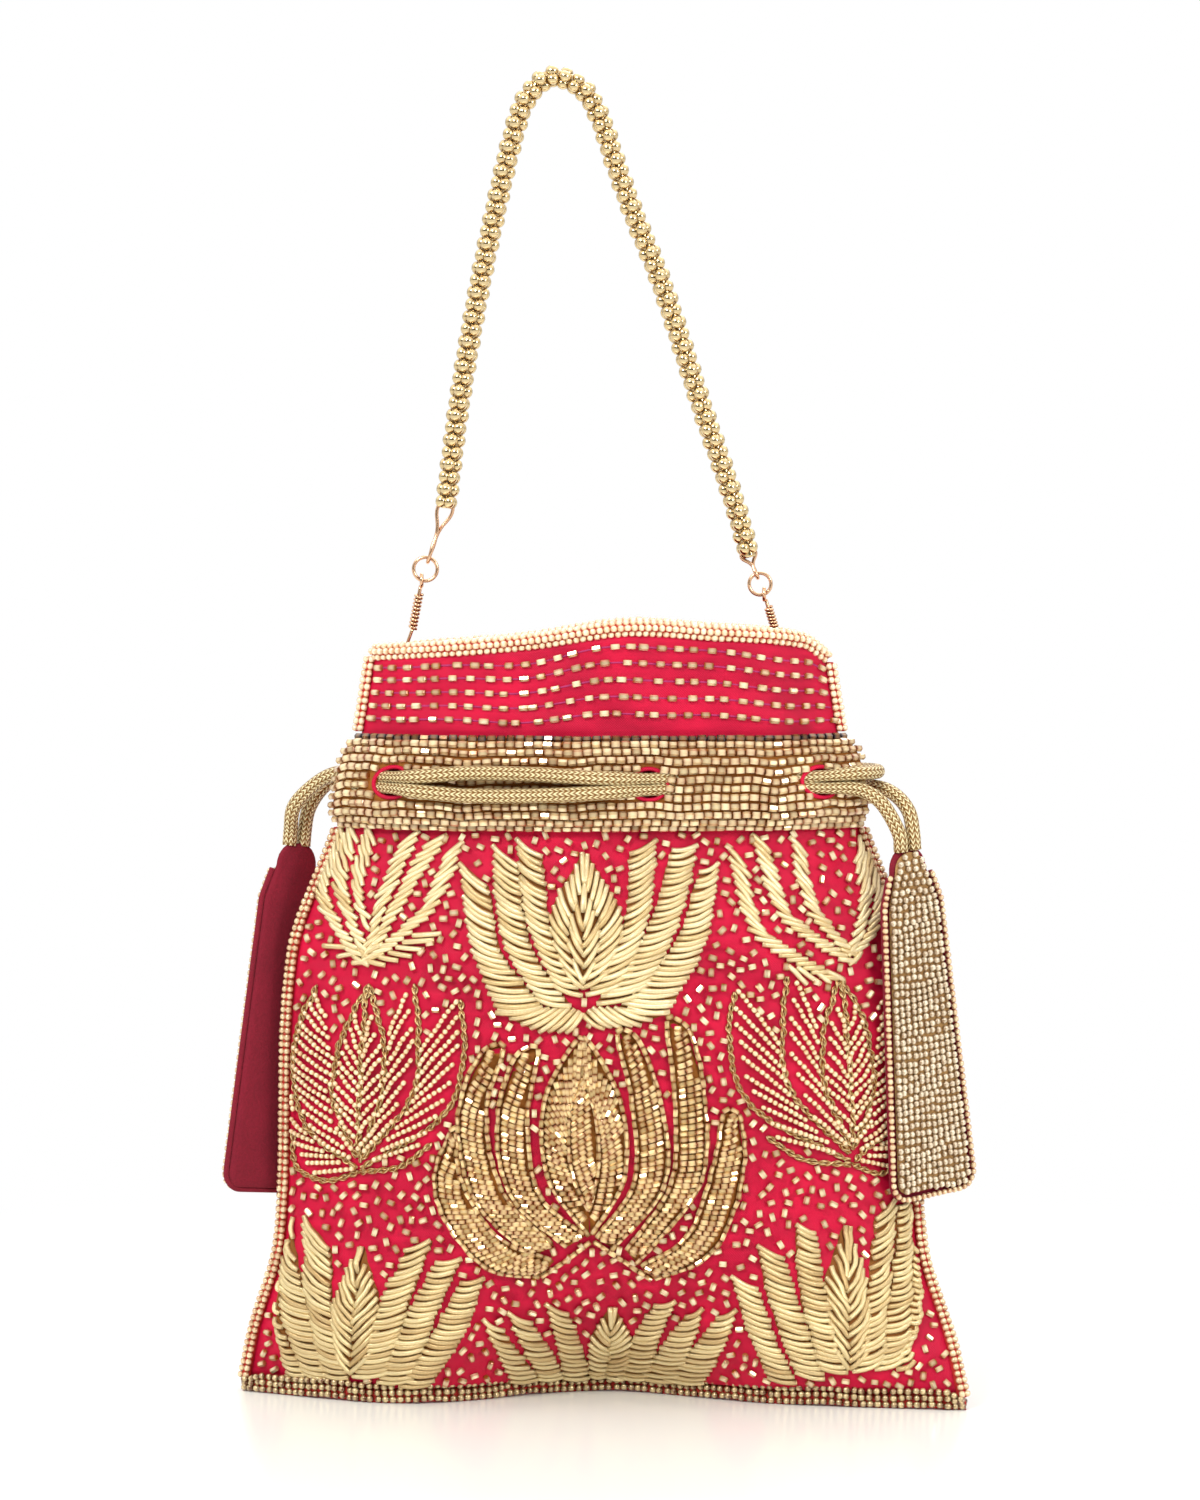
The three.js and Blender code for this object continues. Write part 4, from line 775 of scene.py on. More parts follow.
for word, side, seed in [("front", FRONT, 31), ("back", BACK, 32)]:
    dice = np.random.default_rng(seed)
    spots, ways, outs, threads = [], [], [], []
    for level in FRILL_ROWS:
        turn = np.radians(np.linspace(-80, 80, 500))
        height = level + frill_wave(np.sin(turn))
        line = on_silk(turn, height, side, 0.3)
        at, way, share = walk(line, 4.7)
        shift = share + dice.normal(0, 0.0035, len(share))
        here = np.interp(shift, np.linspace(0, 1, 500), turn)
        level_here = np.interp(shift, np.linspace(0, 1, 500), height)
        spots.append(on_silk(here, level_here, side, 0.8))
        ways.append(way)
        outs.append(lift_off(here, level_here, side))
        threads.append(tube_along(on_silk(turn[::4], height[::4], side, 0.12), 0.28, 5))
    spots, ways, outs = (np.concatenate(v) for v in (spots, ways, outs))
    bead_piece(word + "_frill_beads", CUT_BEAD, spots, ways, outs, pale_tube_bead, seed, length=2.6,
               radius=0.85, slot="gold_beads")
    points, faces = join_up(threads)
    make_piece(word + "_frill_thread", points, faces, magenta_thread, slot="red_silk")


# The bead edgings: rows of round seed beads sewn over a rolled strip of red silk. They bind the rim,
# the sides, the open ends of the frill and, with the widest strip, the bottom the bag stands on.
SEED_BEAD = tube_shape(6, [(-0.5, 0.42), (-0.34, 0.86), (0, 1.0), (0.34, 0.86), (0.5, 0.42)])
edge_silk = woven_cloth("edge_silk", "8c1020", "c8382c", 1600.0, 0.4, 0.7, 0.0)
rim_seed = bead_glass("rim_seed_bead", "fff2d2", "d9924c", 0.6, 0.15, 1.0)
side_seed = bead_glass("side_seed_bead", "fbe6b8", "a85c28", 0.7, 0.3, 1.0)
foot_seed = bead_glass("foot_seed_bead", "f0d8a0", "6a3c16", 0.9, 0.4, 1.0)
EDGING_ROW = 1.6
EDGING_CORE = 1.5
SIDE_TURNS = [14, 88, -58, -130]
BOTTOM_ROWS = [(2.75, -1.0), (2.9, 0.9), (3.1, 2.7), (1.0, 1.6)]
BOTTOM_STRIP = [(2.4, -1.9), (2.5, 0.8), (1.6, 2.2)]
ROUND_CORE = np.array([(math.cos(t), math.sin(t)) for t in np.arange(10) / 10 * 2 * math.pi])


def sweep(line, out, up, outline):
    """A closed bar with one outline, measured out and up, carried along a line."""
    points = line[:, None] + outline[None, :, :1] * out[:, None] + outline[None, :, 1:] * up[:, None]
    corner = np.arange(len(line) * len(outline)).reshape(len(line), -1)
    turned = np.roll(corner, -1, axis=1)
    walls = np.stack([corner[:-1], turned[:-1], turned[1:], corner[1:]], -1).reshape(-1, 4)
    return points.reshape(-1, 3), [walls, corner[0][None, ::-1], corner[-1][None, :]]


def beaded_edge(name, node_name, line, out, up, rows, core, beads, seed, length=1.8, radius=0.95, body="bag",
                strip=edge_silk, uneven=0.0):
    dice = np.random.default_rng(seed)
    out, up = (np.broadcast_to(np.asarray(v, float), line.shape) for v in (out, up))
    points, faces = sweep(line, out, up, core)
    make_piece(name + "_strip", points, faces, strip, body=body, node_names=[node_name], slot="gold_beads")
    line_shares = np.linspace(0, 1, len(line))
    spots, ways, outs = [], [], []
    for a, b in rows:
        away = a * out + b * up
        at, way, share = walk(line + away, length * 1.06)
        at = at + dice.normal(0, 1, at.shape) * uneven * np.array([1, 0.3, 0.6])
        at[:, 2] = np.maximum(at[:, 2], 1.1 * radius)
        spots.append(at)
        ways.append(way / np.linalg.norm(way, axis=1, keepdims=True) + dice.normal(0, 1, way.shape) * uneven)
        outs.append(np.stack([np.interp(share, line_shares, away[:, k]) for k in range(3)], -1))
    spots, ways, outs = (np.concatenate(v) for v in (spots, ways, outs))
    bead_piece(name + "_beads", SEED_BEAD, spots, ways, outs, beads, seed, length=length, radius=radius,
               body=body, slot="gold_beads")


def round_rows(radius, degrees):
    return [(radius * math.cos(math.radians(d)), radius * math.sin(math.radians(d))) for d in degrees]


turn = np.radians(np.linspace(-88, 88, 240))
for word, side, seed in [("front", FRONT, 41), ("back", BACK, 42)]:
    line = pouch(turn, RIM_HEIGHT, side, -0.5) + np.array([0, 0, 1.4])
    away = lift_off(turn, np.full(240, RIM_HEIGHT - 2), side)
    beaded_edge(word + "_rim", word + "_rim_edging", line, away, (0, 0, 1),
                round_rows(EDGING_ROW, [-62, 4, 70, 136]), ROUND_CORE * EDGING_CORE, rim_seed, seed)
for word, hand, seed in [("left", -1, 43), ("right", 1, 45)]:
    height = np.linspace(3.4, 157.4, 200)
    line = pouch(np.full(200, hand * math.pi / 2), height, FRONT, 0.9) + np.array([0, 0.15, 0])
    beaded_edge(word + "_side", word + "_side_edging", line, (hand, 0, 0), (0, -1, 0),
                round_rows(EDGING_ROW, SIDE_TURNS), ROUND_CORE * EDGING_CORE, side_seed, seed)
    height = np.linspace(183.9, 205.7, 40)
    line = pouch(np.full(40, hand * math.pi / 2), height, FRONT, 0.5) + np.array([0, 0.15, 0])
    beaded_edge(word + "_frill", word + "_frill_edging", line, (hand, 0, 0), (0, -1, 0),
                round_rows(EDGING_ROW, SIDE_TURNS), ROUND_CORE * EDGING_CORE, rim_seed, seed + 1)
across = np.linspace(-1, 1, 240)
slim = 1 - 0.4 * step(np.abs(across), 0.94, 1)
line = np.stack([99.6 * across, weave(across, SEAM_HEIGHT), (2.1 + 0.22 * np.sin(23 * across)) * slim], -1)
beaded_edge("bottom", "bottom_edging", line, np.outer(slim, (0, -1, 0)), np.outer(slim, (0, 0, 1)),
            BOTTOM_ROWS + [(-out, up) for out, up in BOTTOM_ROWS[::-1]],
            np.array(BOTTOM_STRIP + [(-out, up) for out, up in BOTTOM_STRIP[::-1]]), foot_seed, 47,
            length=2.0, uneven=0.16)


# Six lotuses in gold bullion: lengths of tightly coiled wire laid side by side over a padding of brown
# thread, each cut to reach from one edge of a petal to the other, and brighter at the top. A petal is
# given by its top, middle and lowest wire, or by its middle line and the way its short wires slant.
TOP_MIDDLE = [
    [((-38, 149), (-30, 142.5)), ((-34.5, 126), (-26.5, 125)), ((-27.5, 109), (-15, 110))],
    [((-29, 153.5), (-22, 148)), ((-26.5, 129), (-18.5, 126.5)), ((-17, 112.5), (-8, 111))],
    [((-22.5, 155.5), (-15.5, 150.5)), ((-19.5, 133), (-13, 130)), ((-12.5, 116.5), (-5, 113.5))],
    [((-5, 151.5), (-4.5, 143.5)), ((-13.5, 134), (-8.5, 130)), ((-10, 121), (-4.5, 115.5))],
    [((-4.5, 143.5), (-4.5, 136)), ((-8.5, 131), (-4.5, 126)), ((-7, 123.5), (-4.5, 117))],
    [((-4.5, 136), (-4, 143.5)), ((-4.5, 126), (0, 131)), ((-4.5, 117), (-1.5, 123.5))],
    [((-4, 143.5), (-3.5, 151.5)), ((0, 130), (6, 134)), ((-4.5, 115.5), (3, 121))],
    [((8, 151.5), (15, 155.5)), ((6.5, 133), (13.5, 137)), ((-3.5, 113.5), (8, 118))],
    [((19, 152), (26, 153.5)), ((13.5, 133), (21.5, 134)), ((-1, 111.5), (12.5, 114.5))],
    [((26.5, 146), (32, 149)), ((20.5, 128), (28.5, 128)), ((5, 110), (18.5, 109))],
    [((-28, 109), (-16, 110)), ((-17, 104), (-7, 110)), ((-9, 103.5), (-4.5, 108.5))],
    [((-4.5, 108.5), (1, 104.5)), ((-2, 110), (8, 105)), ((7, 110), (18.5, 108.5))],
]
LOW_LEFT = [
    [((-85, 43.5), (-85.5, 41)), ((-89, 24), (-88, 22.5)), ((-86.5, 5), (-79.5, 4.5))],
    [((-84.5, 50), (-84.5, 44)), ((-88, 27.5), (-80.5, 29)), ((-81.5, 6.5), (-74, 5.5))],
    [((-81, 51), (-73.5, 42)), ((-80.5, 30), (-73, 26)), ((-76, 7.5), (-68.5, 6.5))],
    [((-65.5, 43.5), (-65.5, 36.5)), ((-73, 26.5), (-67, 21)), ((-72.5, 15), (-68, 8))],
    [((-65.5, 36.5), (-64.5, 43.5)), ((-67, 21), (-60, 28)), ((-68, 8), (-61, 16))],
    [((-53, 42.5), (-45.5, 46)), ((-60, 27.5), (-51, 31)), ((-67, 7), (-57.5, 9))],
    [((-44.5, 40), (-37.5, 41)), ((-52, 26), (-43.5, 28)), ((-60.5, 6), (-50.5, 7))],
    [((-38, 34.5), (-31.5, 35.5)), ((-44.5, 22), (-36.5, 21)), ((-54.5, 5.5), (-46, 5.5))],
]
LOW_MIDDLE = [
    [((-32, 24.5), (-26.5, 20.5)), ((-29, 16.5), (-21.5, 12.5)), ((-24.5, 5), (-16.5, 4.5))],
    [((-25, 26), (-18.5, 22.5)), ((-21.5, 16), (-13, 12)), ((-16.5, 4.5), (-10, 4.5))],
    [((-15, 28), (-8.5, 24.5)), ((-12, 16.5), (-4.5, 12.5)), ((-10, 4.5), (-3, 4.5))],
    [((2.5, 26.5), (3, 20.5)), ((-2.5, 17), (2.5, 11.5)), ((-3, 4.5), (1.5, 4.5))],
    [((3, 20.5), (4, 26.5)), ((2.5, 11.5), (8.5, 17)), ((1.5, 4.5), (7, 4.5))],
    [((14.5, 27.5), (20.5, 29)), ((9, 17), (16.5, 18)), ((5, 4.5), (13.5, 4.5))],
    [((23, 24.5), (28, 27)), ((16.5, 14.5), (25, 15.5)), ((11.5, 4.5), (21, 4.5))],
    [((31.5, 24.5), (37, 27)), ((25.5, 15.5), (33.5, 16)), ((18, 4.5), (28.5, 4.5))],
]
LOW_RIGHT = [
    [((35.5, 36.5), (43, 33)), ((39.5, 23), (47, 20.5)), ((45.5, 8), (53.5, 6.5))],
    [((42.5, 45), (50, 41)), ((46, 29), (54, 28)), ((53, 9.5), (61, 8))],
    [((53, 50.5), (58.5, 48)), ((54, 33.5), (61, 33)), ((59, 11.5), (67, 10))],
    [((66.5, 49.5), (67, 39.5)), ((61, 33), (67, 28)), ((62.5, 18), (67.5, 11))],
    [((67, 39.5), (68, 49)), ((67, 28), (72.5, 32)), ((67.5, 11), (73.5, 18))],
    [((75, 50.5), (81, 56)), ((73, 34), (79, 38.5)), ((68.5, 10.5), (77, 13.5))],
    [((81.5, 53), (84.5, 55)), ((79.5, 35.5), (85, 36)), ((74.5, 11), (83, 13.5))],
    [((84.5, 52.5), (84.5, 49.5)), ((85, 32), (87, 32.5)), ((80.5, 11), (84.5, 13.5))],
]
TOP_LEFT = [
    ([(-70, 157), (-75.5, 140), (-64.5, 122)], 1),
    ([(-67, 157), (-70.5, 142), (-63, 123.5)], 1),
    ([(-62, 156.5), (-65.5, 143), (-63.5, 132.5)], 1),
    ([(-51.5, 155), (-57.5, 141), (-62.5, 124.5)], -1),
    ([(-44.5, 154.5), (-53, 140), (-62, 123)], -1),
    ([(-39.5, 152), (-46, 137), (-61, 123)], -1),
    ([(-71.5, 125.5), (-68, 123.5), (-64.5, 121.5)], 2),
    ([(-46.5, 129.5), (-53, 124.5), (-60, 121.5)], -2),
]
TOP_RIGHT = [
    ([(37, 150), (42.5, 131), (62, 117.5)], 1),
    ([(43.5, 154), (50, 135), (66.5, 122)], 1),
    ([(53.5, 153), (57, 137), (67.5, 124)], 1),
    ([(70, 151.5), (72, 138), (68.5, 125)], -1),
    ([(72.5, 149), (76, 136), (69, 122.5)], -1),
    ([(53, 118.5), (58, 118), (63.5, 118)], -2),
]
BULLION_WIRE = 1.5
WIRE_GAP = 1.43


def on_front(spots, out):
    """Places on the front panel from (across, height) in millimetres."""
    x, height = np.moveaxis(np.asarray(spots, float), -1, 0)
    angle = np.arcsin(np.clip(x / through(HALF_WIDTHS, height), -0.999, 0.999))
    return on_silk(angle, height, FRONT, out)


def drawn_line(points, gap):
    """A smooth flat line through drawn points, at equal gaps."""
    flat = np.array([(x, z, 0) for x, z in points], float)
    return smooth_run(flat, gap)[:, :2]


def spread(line, count):
    """A flat line's points taken at count even places."""
    shares = np.linspace(0, 1, len(line))
    return np.stack([np.interp(np.linspace(0, 1, count), shares, line[:, k]) for k in (0, 1)], -1)


def petal_edges(petal, gap):
    """The left and the right edge of a petal as smooth lines."""
    left, right = zip(*petal)
    return drawn_line(left, gap), drawn_line(right, gap)


def laid_across(petal, gap, lag=0.0):
    """The ends of threads across a petal, an even gap apart; the right ends lie lower by the lag."""
    left, right = (spread(edge, 200) for edge in petal_edges(petal, 0.5))
    way = right - left
    way = way / np.linalg.norm(way, axis=1, keepdims=True)
    ahead = np.diff((left + right) / 2, axis=0)
    apart = np.abs(ahead[:, 0] * way[1:, 1] - ahead[:, 1] * way[1:, 0])
    run = np.concatenate([[0], np.cumsum(apart)])
    stops = np.linspace(0, 1, max(int(run[-1] / gap) + 1, 3)) * run[-1]
    return [np.stack([np.interp(stops + late, run, edge[:, k]) for k in (0, 1)], -1)
            for edge, late in [(left, -lag / 2), (right, lag / 2)]]


# Coiled wire: a fine screw of turns along each length, with a tarnish that differs from length to length and
# painted shade in the grooves between the turns
coiled_wire, given, made = new_group(
    "coiled_wire", {"Bright": dye("f6e2a8"), "Tarnish": dye("a67c3a"), "Turn length": 0.36},
    {"Color": "Color", "Height": "Float"})
run = node(coiled_wire, "Attribute", {"attribute_name": "run"}).outputs["Fac"]
tone = node(coiled_wire, "Attribute", {"attribute_name": "tone"}).outputs["Fac"]
screw = sum_up(coiled_wire, "SINE", sum_up(coiled_wire, "MULTIPLY", sum_up(
    coiled_wire, "DIVIDE", run, given["Turn length"]), 2 * math.pi))
coiled_wire.links.new(screw, made["Height"])
# The screw term darkens the grooves between the turns, a painted shade; the tone term is each length's own
# tarnish.
tone_mix = sum_up(coiled_wire, "MULTIPLY_ADD", screw, -0.12, sum_up(coiled_wire, "MULTIPLY_ADD", tone, 0.6, 0.1))
coiled_wire.links.new(mixed(coiled_wire, tone_mix, given["Bright"], given["Tarnish"]), made["Color"])


def bullion(name, bright, tarnish):
    gold, tree, output = new_material(name)
    coil = node(tree, "Group", {"node_tree": coiled_wire}, Bright=dye(bright), Tarnish=dye(tarnish))
    bump = node(tree, "Bump", Strength=0.5, Distance=0.0001, Height=coil.outputs["Height"])
    wire = node(tree, "BsdfPrincipled", Base_Color=coil.outputs["Color"], Metallic=0.55, Roughness=0.28,
                Normal=bump.outputs[0])
    tree.links.new(wire.outputs[0], output.inputs["Surface"])
    return gold


bright_bullion = bullion("bright_bullion", "fff0c4", "c8a058")
# The lower lotuses are given a darker gold than the top ones.
lower_lotus_bullion = bullion("lower_lotus_bullion", "f6e4b0", "b08446")
padding_thread = woven_cloth("padding_thread", "6a3818", "94602c", 1500.0, 0.5, 0.8, 0.0)


def wire_lotus(name, lines, gold, seed, pads=()):
    """Wires along flat lines on the front panel, with the pads under them, as one motif."""
    dice = np.random.default_rng(seed)
    wires = [tube_along(on_front(line, lift), BULLION_WIRE / 2, 7) for line, lift in lines]
    points, faces = join_up(wires)
    run = np.concatenate([wire[2] + dice.uniform(0, 1) for wire in wires])
    tone = np.concatenate([np.full(len(wire[0]), dice.beta(1.6, 2.2)) for wire in wires])
    make_piece(name + "_wires", points, faces, gold, node_names=[name], slot="gold_bullion", run=run,
               tone=tone)
    if pads:
        points, faces = join_up(pads)
        make_piece(name + "_padding", points, faces, padding_thread, slot="gold_bullion")


def petal_wires(petals, seed):
    """Wires across each petal, bowed over its padding."""
    dice = np.random.default_rng(seed)
    lines, pads = [], []
    for petal in petals:
        left, right = petal_edges(petal, 0.5)
        across = laid_across(petal, WIRE_GAP)
        left_ends, right_ends = (ends + dice.normal(0, 0.2, ends.shape) for ends in across)
        count = len(left_ends)
        s = np.linspace(0, 1, 7)[:, None]
        for k in range(count):
            swell = 0.75 * math.sin(math.pi * (k + 0.5) / count) ** 0.5
            arc = np.sin(math.pi * s[:, 0])
            bow = np.array([0, -0.6]) * arc[:, None]
            lines.append((left_ends[k] * (1 - s) + right_ends[k] * s + bow, 0.55 + (0.35 + swell) * arc))
        rows = np.linspace(0, 1, 14)[:, None]
        flat = (spread(left, 14)[:, None] * (1 - s[None, ::-1]) + spread(right, 14)[:, None] * s[None, ::-1])
        dome = 0.2 + (0.75 * np.sin(math.pi * rows) ** 0.5) * np.sin(math.pi * s[:, 0])[None]
        pads.append(sheet_between(on_front(flat, dome), on_front(flat, dome * 0 - 0.3)))
    return lines, pads


def feather_wires(petals, seed):
    """Short wires laid slantwise along each petal's middle line, the red showing between them."""
    dice = np.random.default_rng(seed)
    lines = []
    for axis, turn in petals:
        axis = drawn_line(axis, 0.4)
        way = np.gradient(axis, axis=0)
        way = way / np.linalg.norm(way, axis=1, keepdims=True)
        stops = np.linspace(0, len(axis) - 1, int(len(axis) * 0.4 / 2.3)).astype(int)
        for k in stops:
            slant = math.radians(27 * np.sign(turn) + dice.normal(0, 4)) * (1.4 if abs(turn) == 2 else 1)
            c, s = math.cos(slant), math.sin(slant)
            ahead = np.array([way[k] @ (c, -s), way[k] @ (s, c)])
            share = k / (len(axis) - 1)
            reach = (2.6 + 1.7 * math.sin(math.pi * min(share + 0.22, 1))) * dice.uniform(0.9, 1.08)
            t = np.linspace(-1, 1, 7)
            lines.append((axis[k] + reach * t[:, None] * ahead, 0.6 + 0.5 * (1 - t ** 2)))
    return lines


for name, petals, gold, seed in [("lotus_top_middle", TOP_MIDDLE, bright_bullion, 51),
                                 ("lotus_low_left", LOW_LEFT, lower_lotus_bullion, 52),
                                 ("lotus_low_middle", LOW_MIDDLE, lower_lotus_bullion, 53),
                                 ("lotus_low_right", LOW_RIGHT, lower_lotus_bullion, 54)]:
    lines, pads = petal_wires(petals, seed)
    wire_lotus(name, lines, gold, seed, pads)
for name, petals, seed in [("lotus_top_left", TOP_LEFT, 55), ("lotus_top_right", TOP_RIGHT, 56)]:
    wire_lotus(name, feather_wires(petals, seed), bright_bullion, seed)


# The middle lotus in glass beads: each petal is outlined with a single row of cut beads and filled with
# short slanting strings of them. A petal is given by four strings, from its tip to its foot; the leaf in
# the middle has its outline from the petals beside it.
BEADED_PETALS = [
    [((-40, 76), (-39, 77)), ((-44.5, 60), (-38, 65.5)),
     ((-31, 39), (-28.5, 48)), ((-16, 36), (-12.5, 40.5))],
    [((-31, 98.5), (-26, 100)), ((-38, 81), (-30.5, 82)),
     ((-33.5, 57.5), (-26, 59.5)), ((-18.5, 41.5), (-12.5, 45))],
    [((-22, 97.5), (-17, 99.5)), ((-27.5, 79), (-19.5, 80)),
     ((-24, 59), (-16, 58.5)), ((-9, 44.5), (-4, 47.5))],
    [((-5, 102), (-5, 90.5)), ((-14.5, 86), (-8, 82)), ((-14, 64), (-7.5, 65)), ((-3, 47.5), (-3, 54.5))],
    [((-4, 91), (-4.5, 102)), ((-1, 80), (5, 86)), ((-0.5, 66), (6.5, 64)), ((-3, 54.5), (-2.5, 47.5))],
    [((5, 104), (9, 103)), ((8.5, 85), (16.3, 84)), ((9, 62), (17.3, 62)), ((-1, 47), (3.5, 44))],
    [((18.5, 107.5), (23.5, 104.5)), ((20, 86), (28, 85.5)), ((19, 62), (27, 62.5)), ((7, 43.5), (10, 40))],
    [((34, 82), (37, 81)), ((30.5, 67), (38.5, 65)), ((23, 47), (30, 43)), ((11, 39), (14, 35))],
]
MIDDLE_LEAF = [((-5, 90.5), (-3.5, 91)), ((-8.5, 79), (-1, 80)),
               ((-7.5, 65), (-0.5, 66)), ((-3.5, 54.5), (-3, 54.5))]
STRING_SLANT = 4.6
FOOT_ROWS = [[(-16, 36), (-10, 40), (-2.5, 46)], [(14, 35), (5.5, 41), (-1, 45.5)]]
lotus_bead = bead_glass("lotus_tube_bead", "ffe2a0", "8a4408", 0.9, 0.45, 1.0)


def bead_row(flat, gap, out):
    """Bead places, directions and ways out along a flat line on the front panel."""
    line = on_front(flat, out)
    at, way, share = walk(line, gap)
    x, height = (np.interp(share, np.linspace(0, 1, len(flat)), flat[:, k]) for k in (0, 1))
    angle = np.arcsin(np.clip(x / through(HALF_WIDTHS, height), -0.999, 0.999))
    return at, way, lift_off(angle, height, FRONT)


filled, outlined, pads = [], [], []
s = np.linspace(0, 1, 9)[:, None]
for petal in BEADED_PETALS + [MIDDLE_LEAF]:
    leans_left = np.mean([spot[0] for wire in petal for spot in wire]) < -4.2
    for a, b in zip(*laid_across(petal, 1.5, STRING_SLANT if leans_left else -STRING_SLANT)):
        width = np.linalg.norm(b - a)
        if width > 3.4:
            string = a + (b - a) * (s * (1 - 2.6 / width) + 1.3 / width)
            filled.append(bead_row(string, 2.05, 1.1 + 0.7 * np.sin(math.pi * s[:, 0])))
    left, right = (spread(edge, 20) for edge in petal_edges(petal, 0.5))
    flat = left[:, None] * s[None, ::-1] + right[:, None] * (1 - s[None, ::-1])
    dome = 0.15 + 0.6 * np.sin(math.pi * np.linspace(0, 1, 20))[:, None] * np.sin(math.pi * s[:, 0])
    pads.append(sheet_between(on_front(flat[:, ::-1], dome), on_front(flat[:, ::-1], dome * 0 - 0.3)))
for petal in BEADED_PETALS:
    left, right = zip(*petal)
    outlined.append(bead_row(drawn_line(left[::-1] + right, 0.5), 2.45, 0.95))
for row in FOOT_ROWS:
    outlined.append(bead_row(drawn_line(row, 0.5), 2.45, 0.95))
for word, rows, length, radius, stands_for in [("beads", filled, 2.15, 0.8, ["lotus_middle"]),
                                               ("outline", outlined, 2.4, 0.72, [])]:
    places, ways, outs = (np.concatenate([row[k] for row in rows]) for k in range(3))
    bead_piece("lotus_middle_" + word, CUT_BEAD, places, ways, outs, lotus_bead, 61, length=length,
               radius=radius, node_names=stands_for, slot="gold_bead_motifs")
points, faces = join_up(pads)
make_piece("lotus_middle_ground", points, faces, amber_ground, slot="gold_bead_motifs")


# The two side lotuses: petals drawn in two strands of gold zari thread that cross at each stitch, and
# filled with slanting strings of pale round beads that leave as much red showing as they cover. A petal
# is given by its strings from tip to foot; the right lotus mirrors the left one.
STRUNG_PETALS = [
    [((-84, 84), (-83, 79)), ((-84, 72), (-77, 71)), ((-78, 63), (-67, 65))],
    [((-77.5, 112.5), (-74, 106)), ((-82, 103), (-72.5, 92)),
     ((-83.5, 90), (-72.5, 79)), ((-78, 73), (-67, 67.5))],
    [((-66.5, 108), (-64, 100)), ((-71.8, 90), (-65, 80)), ((-71.5, 76), (-66, 70))],
    [((-63.8, 100), (-61, 108)), ((-65, 80), (-58.5, 90)), ((-65.7, 70), (-61.5, 76))],
    [((-57, 102), (-51.5, 114.5)), ((-58, 88), (-50.5, 98)), ((-64, 69.5), (-55.5, 78.5))],
    [((-48.5, 97.5), (-38, 112.5)), ((-51, 83), (-39.5, 92)), ((-61.5, 67.5), (-47.5, 72.5))],
]
ZARI_LINES = [
    [(-77, 114.5), (-82.5, 102), (-83.7, 88), (-79.5, 75), (-66, 65)],
    [(-62.5, 115.5), (-70, 100.5), (-72.5, 84), (-66, 68)],
    [(-62.5, 115.5), (-58.7, 101), (-59, 86), (-65.5, 68)],
    [(-63, 114.5), (-65, 90), (-65.8, 71)],
    [(-50, 116), (-49, 102), (-50.5, 86), (-65, 67)],
    [(-37.7, 112), (-36.5, 100), (-41, 82), (-64.5, 65)],
    [(-84, 74), (-83, 64.5), (-75, 61), (-65.5, 64)],
    [(-45.5, 72.5), (-54, 66), (-65, 64)],
]
LEFT_FOOT = (-66.0, 63.5)
RIGHT_FOOT = (69.0, 65.5)
ZARI_STITCH = 2.8
string_seed = bead_glass("string_seed_bead", "fbe8bc", "c98a4a", 0.6, 0.2, 1.0)
zari_thread = knitted_gold("zari_thread", "9a6228", "f4d89c", 0.6, 2.0, 2.4)


def zari_lotus(name, place, seed):
    dice = np.random.default_rng(seed)
    strands = []
    for drawn in ZARI_LINES:
        flat = place(drawn_line(drawn, 0.5))
        way = np.gradient(flat, axis=0)
        aside = np.stack([-way[:, 1], way[:, 0]], -1) / np.linalg.norm(way, axis=1, keepdims=True)
        stitch = math.pi * 0.5 * np.arange(len(flat)) / ZARI_STITCH
        for hand in (-1, 1):
            strand = flat + 0.5 * hand * np.sin(stitch)[:, None] * aside
            height = 0.55 + 0.25 * hand * np.cos(stitch)
            strands.append(tube_along(on_front(strand, height), 0.42, 7))
    points, faces = join_up(strands)
    run, turn = (np.concatenate([strand[k] for strand in strands]) for k in (2, 3))
    make_piece(name + "_zari", points, faces, zari_thread, node_names=[name], slot="gold_bead_motifs",
               run=run, turn_x=np.cos(turn * 2 * math.pi), turn_y=np.sin(turn * 2 * math.pi))
    strings = []
    for petal in STRUNG_PETALS:
        s = np.linspace(0, 1, 9)[:, None]
        for a, b in zip(*(place(ends) for ends in laid_across(petal, 2.05))):
            if np.linalg.norm(a - b) > 2.2:
                a, b = a + dice.normal(0, 0.2, 2), b + dice.normal(0, 0.2, 2)
                strings.append(bead_row(a * (1 - s) + b * s, 1.66, 0.85 + 0.45 * np.sin(math.pi * s[:, 0])))
    places, ways, outs = (np.concatenate([row[k] for row in strings]) for k in range(3))
    bead_piece(name + "_strings", SEED_BEAD, places, ways, outs, string_seed, seed, length=1.6, radius=0.74,
               slot="gold_bead_motifs")


def mirrored(flat):
    """A flat line of the left lotus on the right one, which is narrower outside and wider inside."""
    off = flat - LEFT_FOOT
    width = np.where(off[:, 0] < 0, 0.82, 1.16)
    return np.stack([RIGHT_FOOT[0] - off[:, 0] * width, RIGHT_FOOT[1] + off[:, 1]], -1)


zari_lotus("lotus_middle_left", lambda flat: flat, 71)
zari_lotus("lotus_middle_right", mirrored, 72)


# The ground between the lotuses: single short gold beads stitched down at all angles over the front,
# wherever the motifs leave the silk bare. The back has the same beads, set wide apart in staggered rows.
BEAD_SPACE = 2.9
covered = np.zeros((420, 360), bool)


def cells(flat):
    """The half-millimetre squares that flat places fall in."""
    cell = np.round((np.asarray(flat) + [105, 0]) * 2).astype(int)
    return np.clip(cell[..., 0], 0, 419), np.clip(cell[..., 1], 0, 359)


def cover(flat):
    covered[cells(flat)] = True


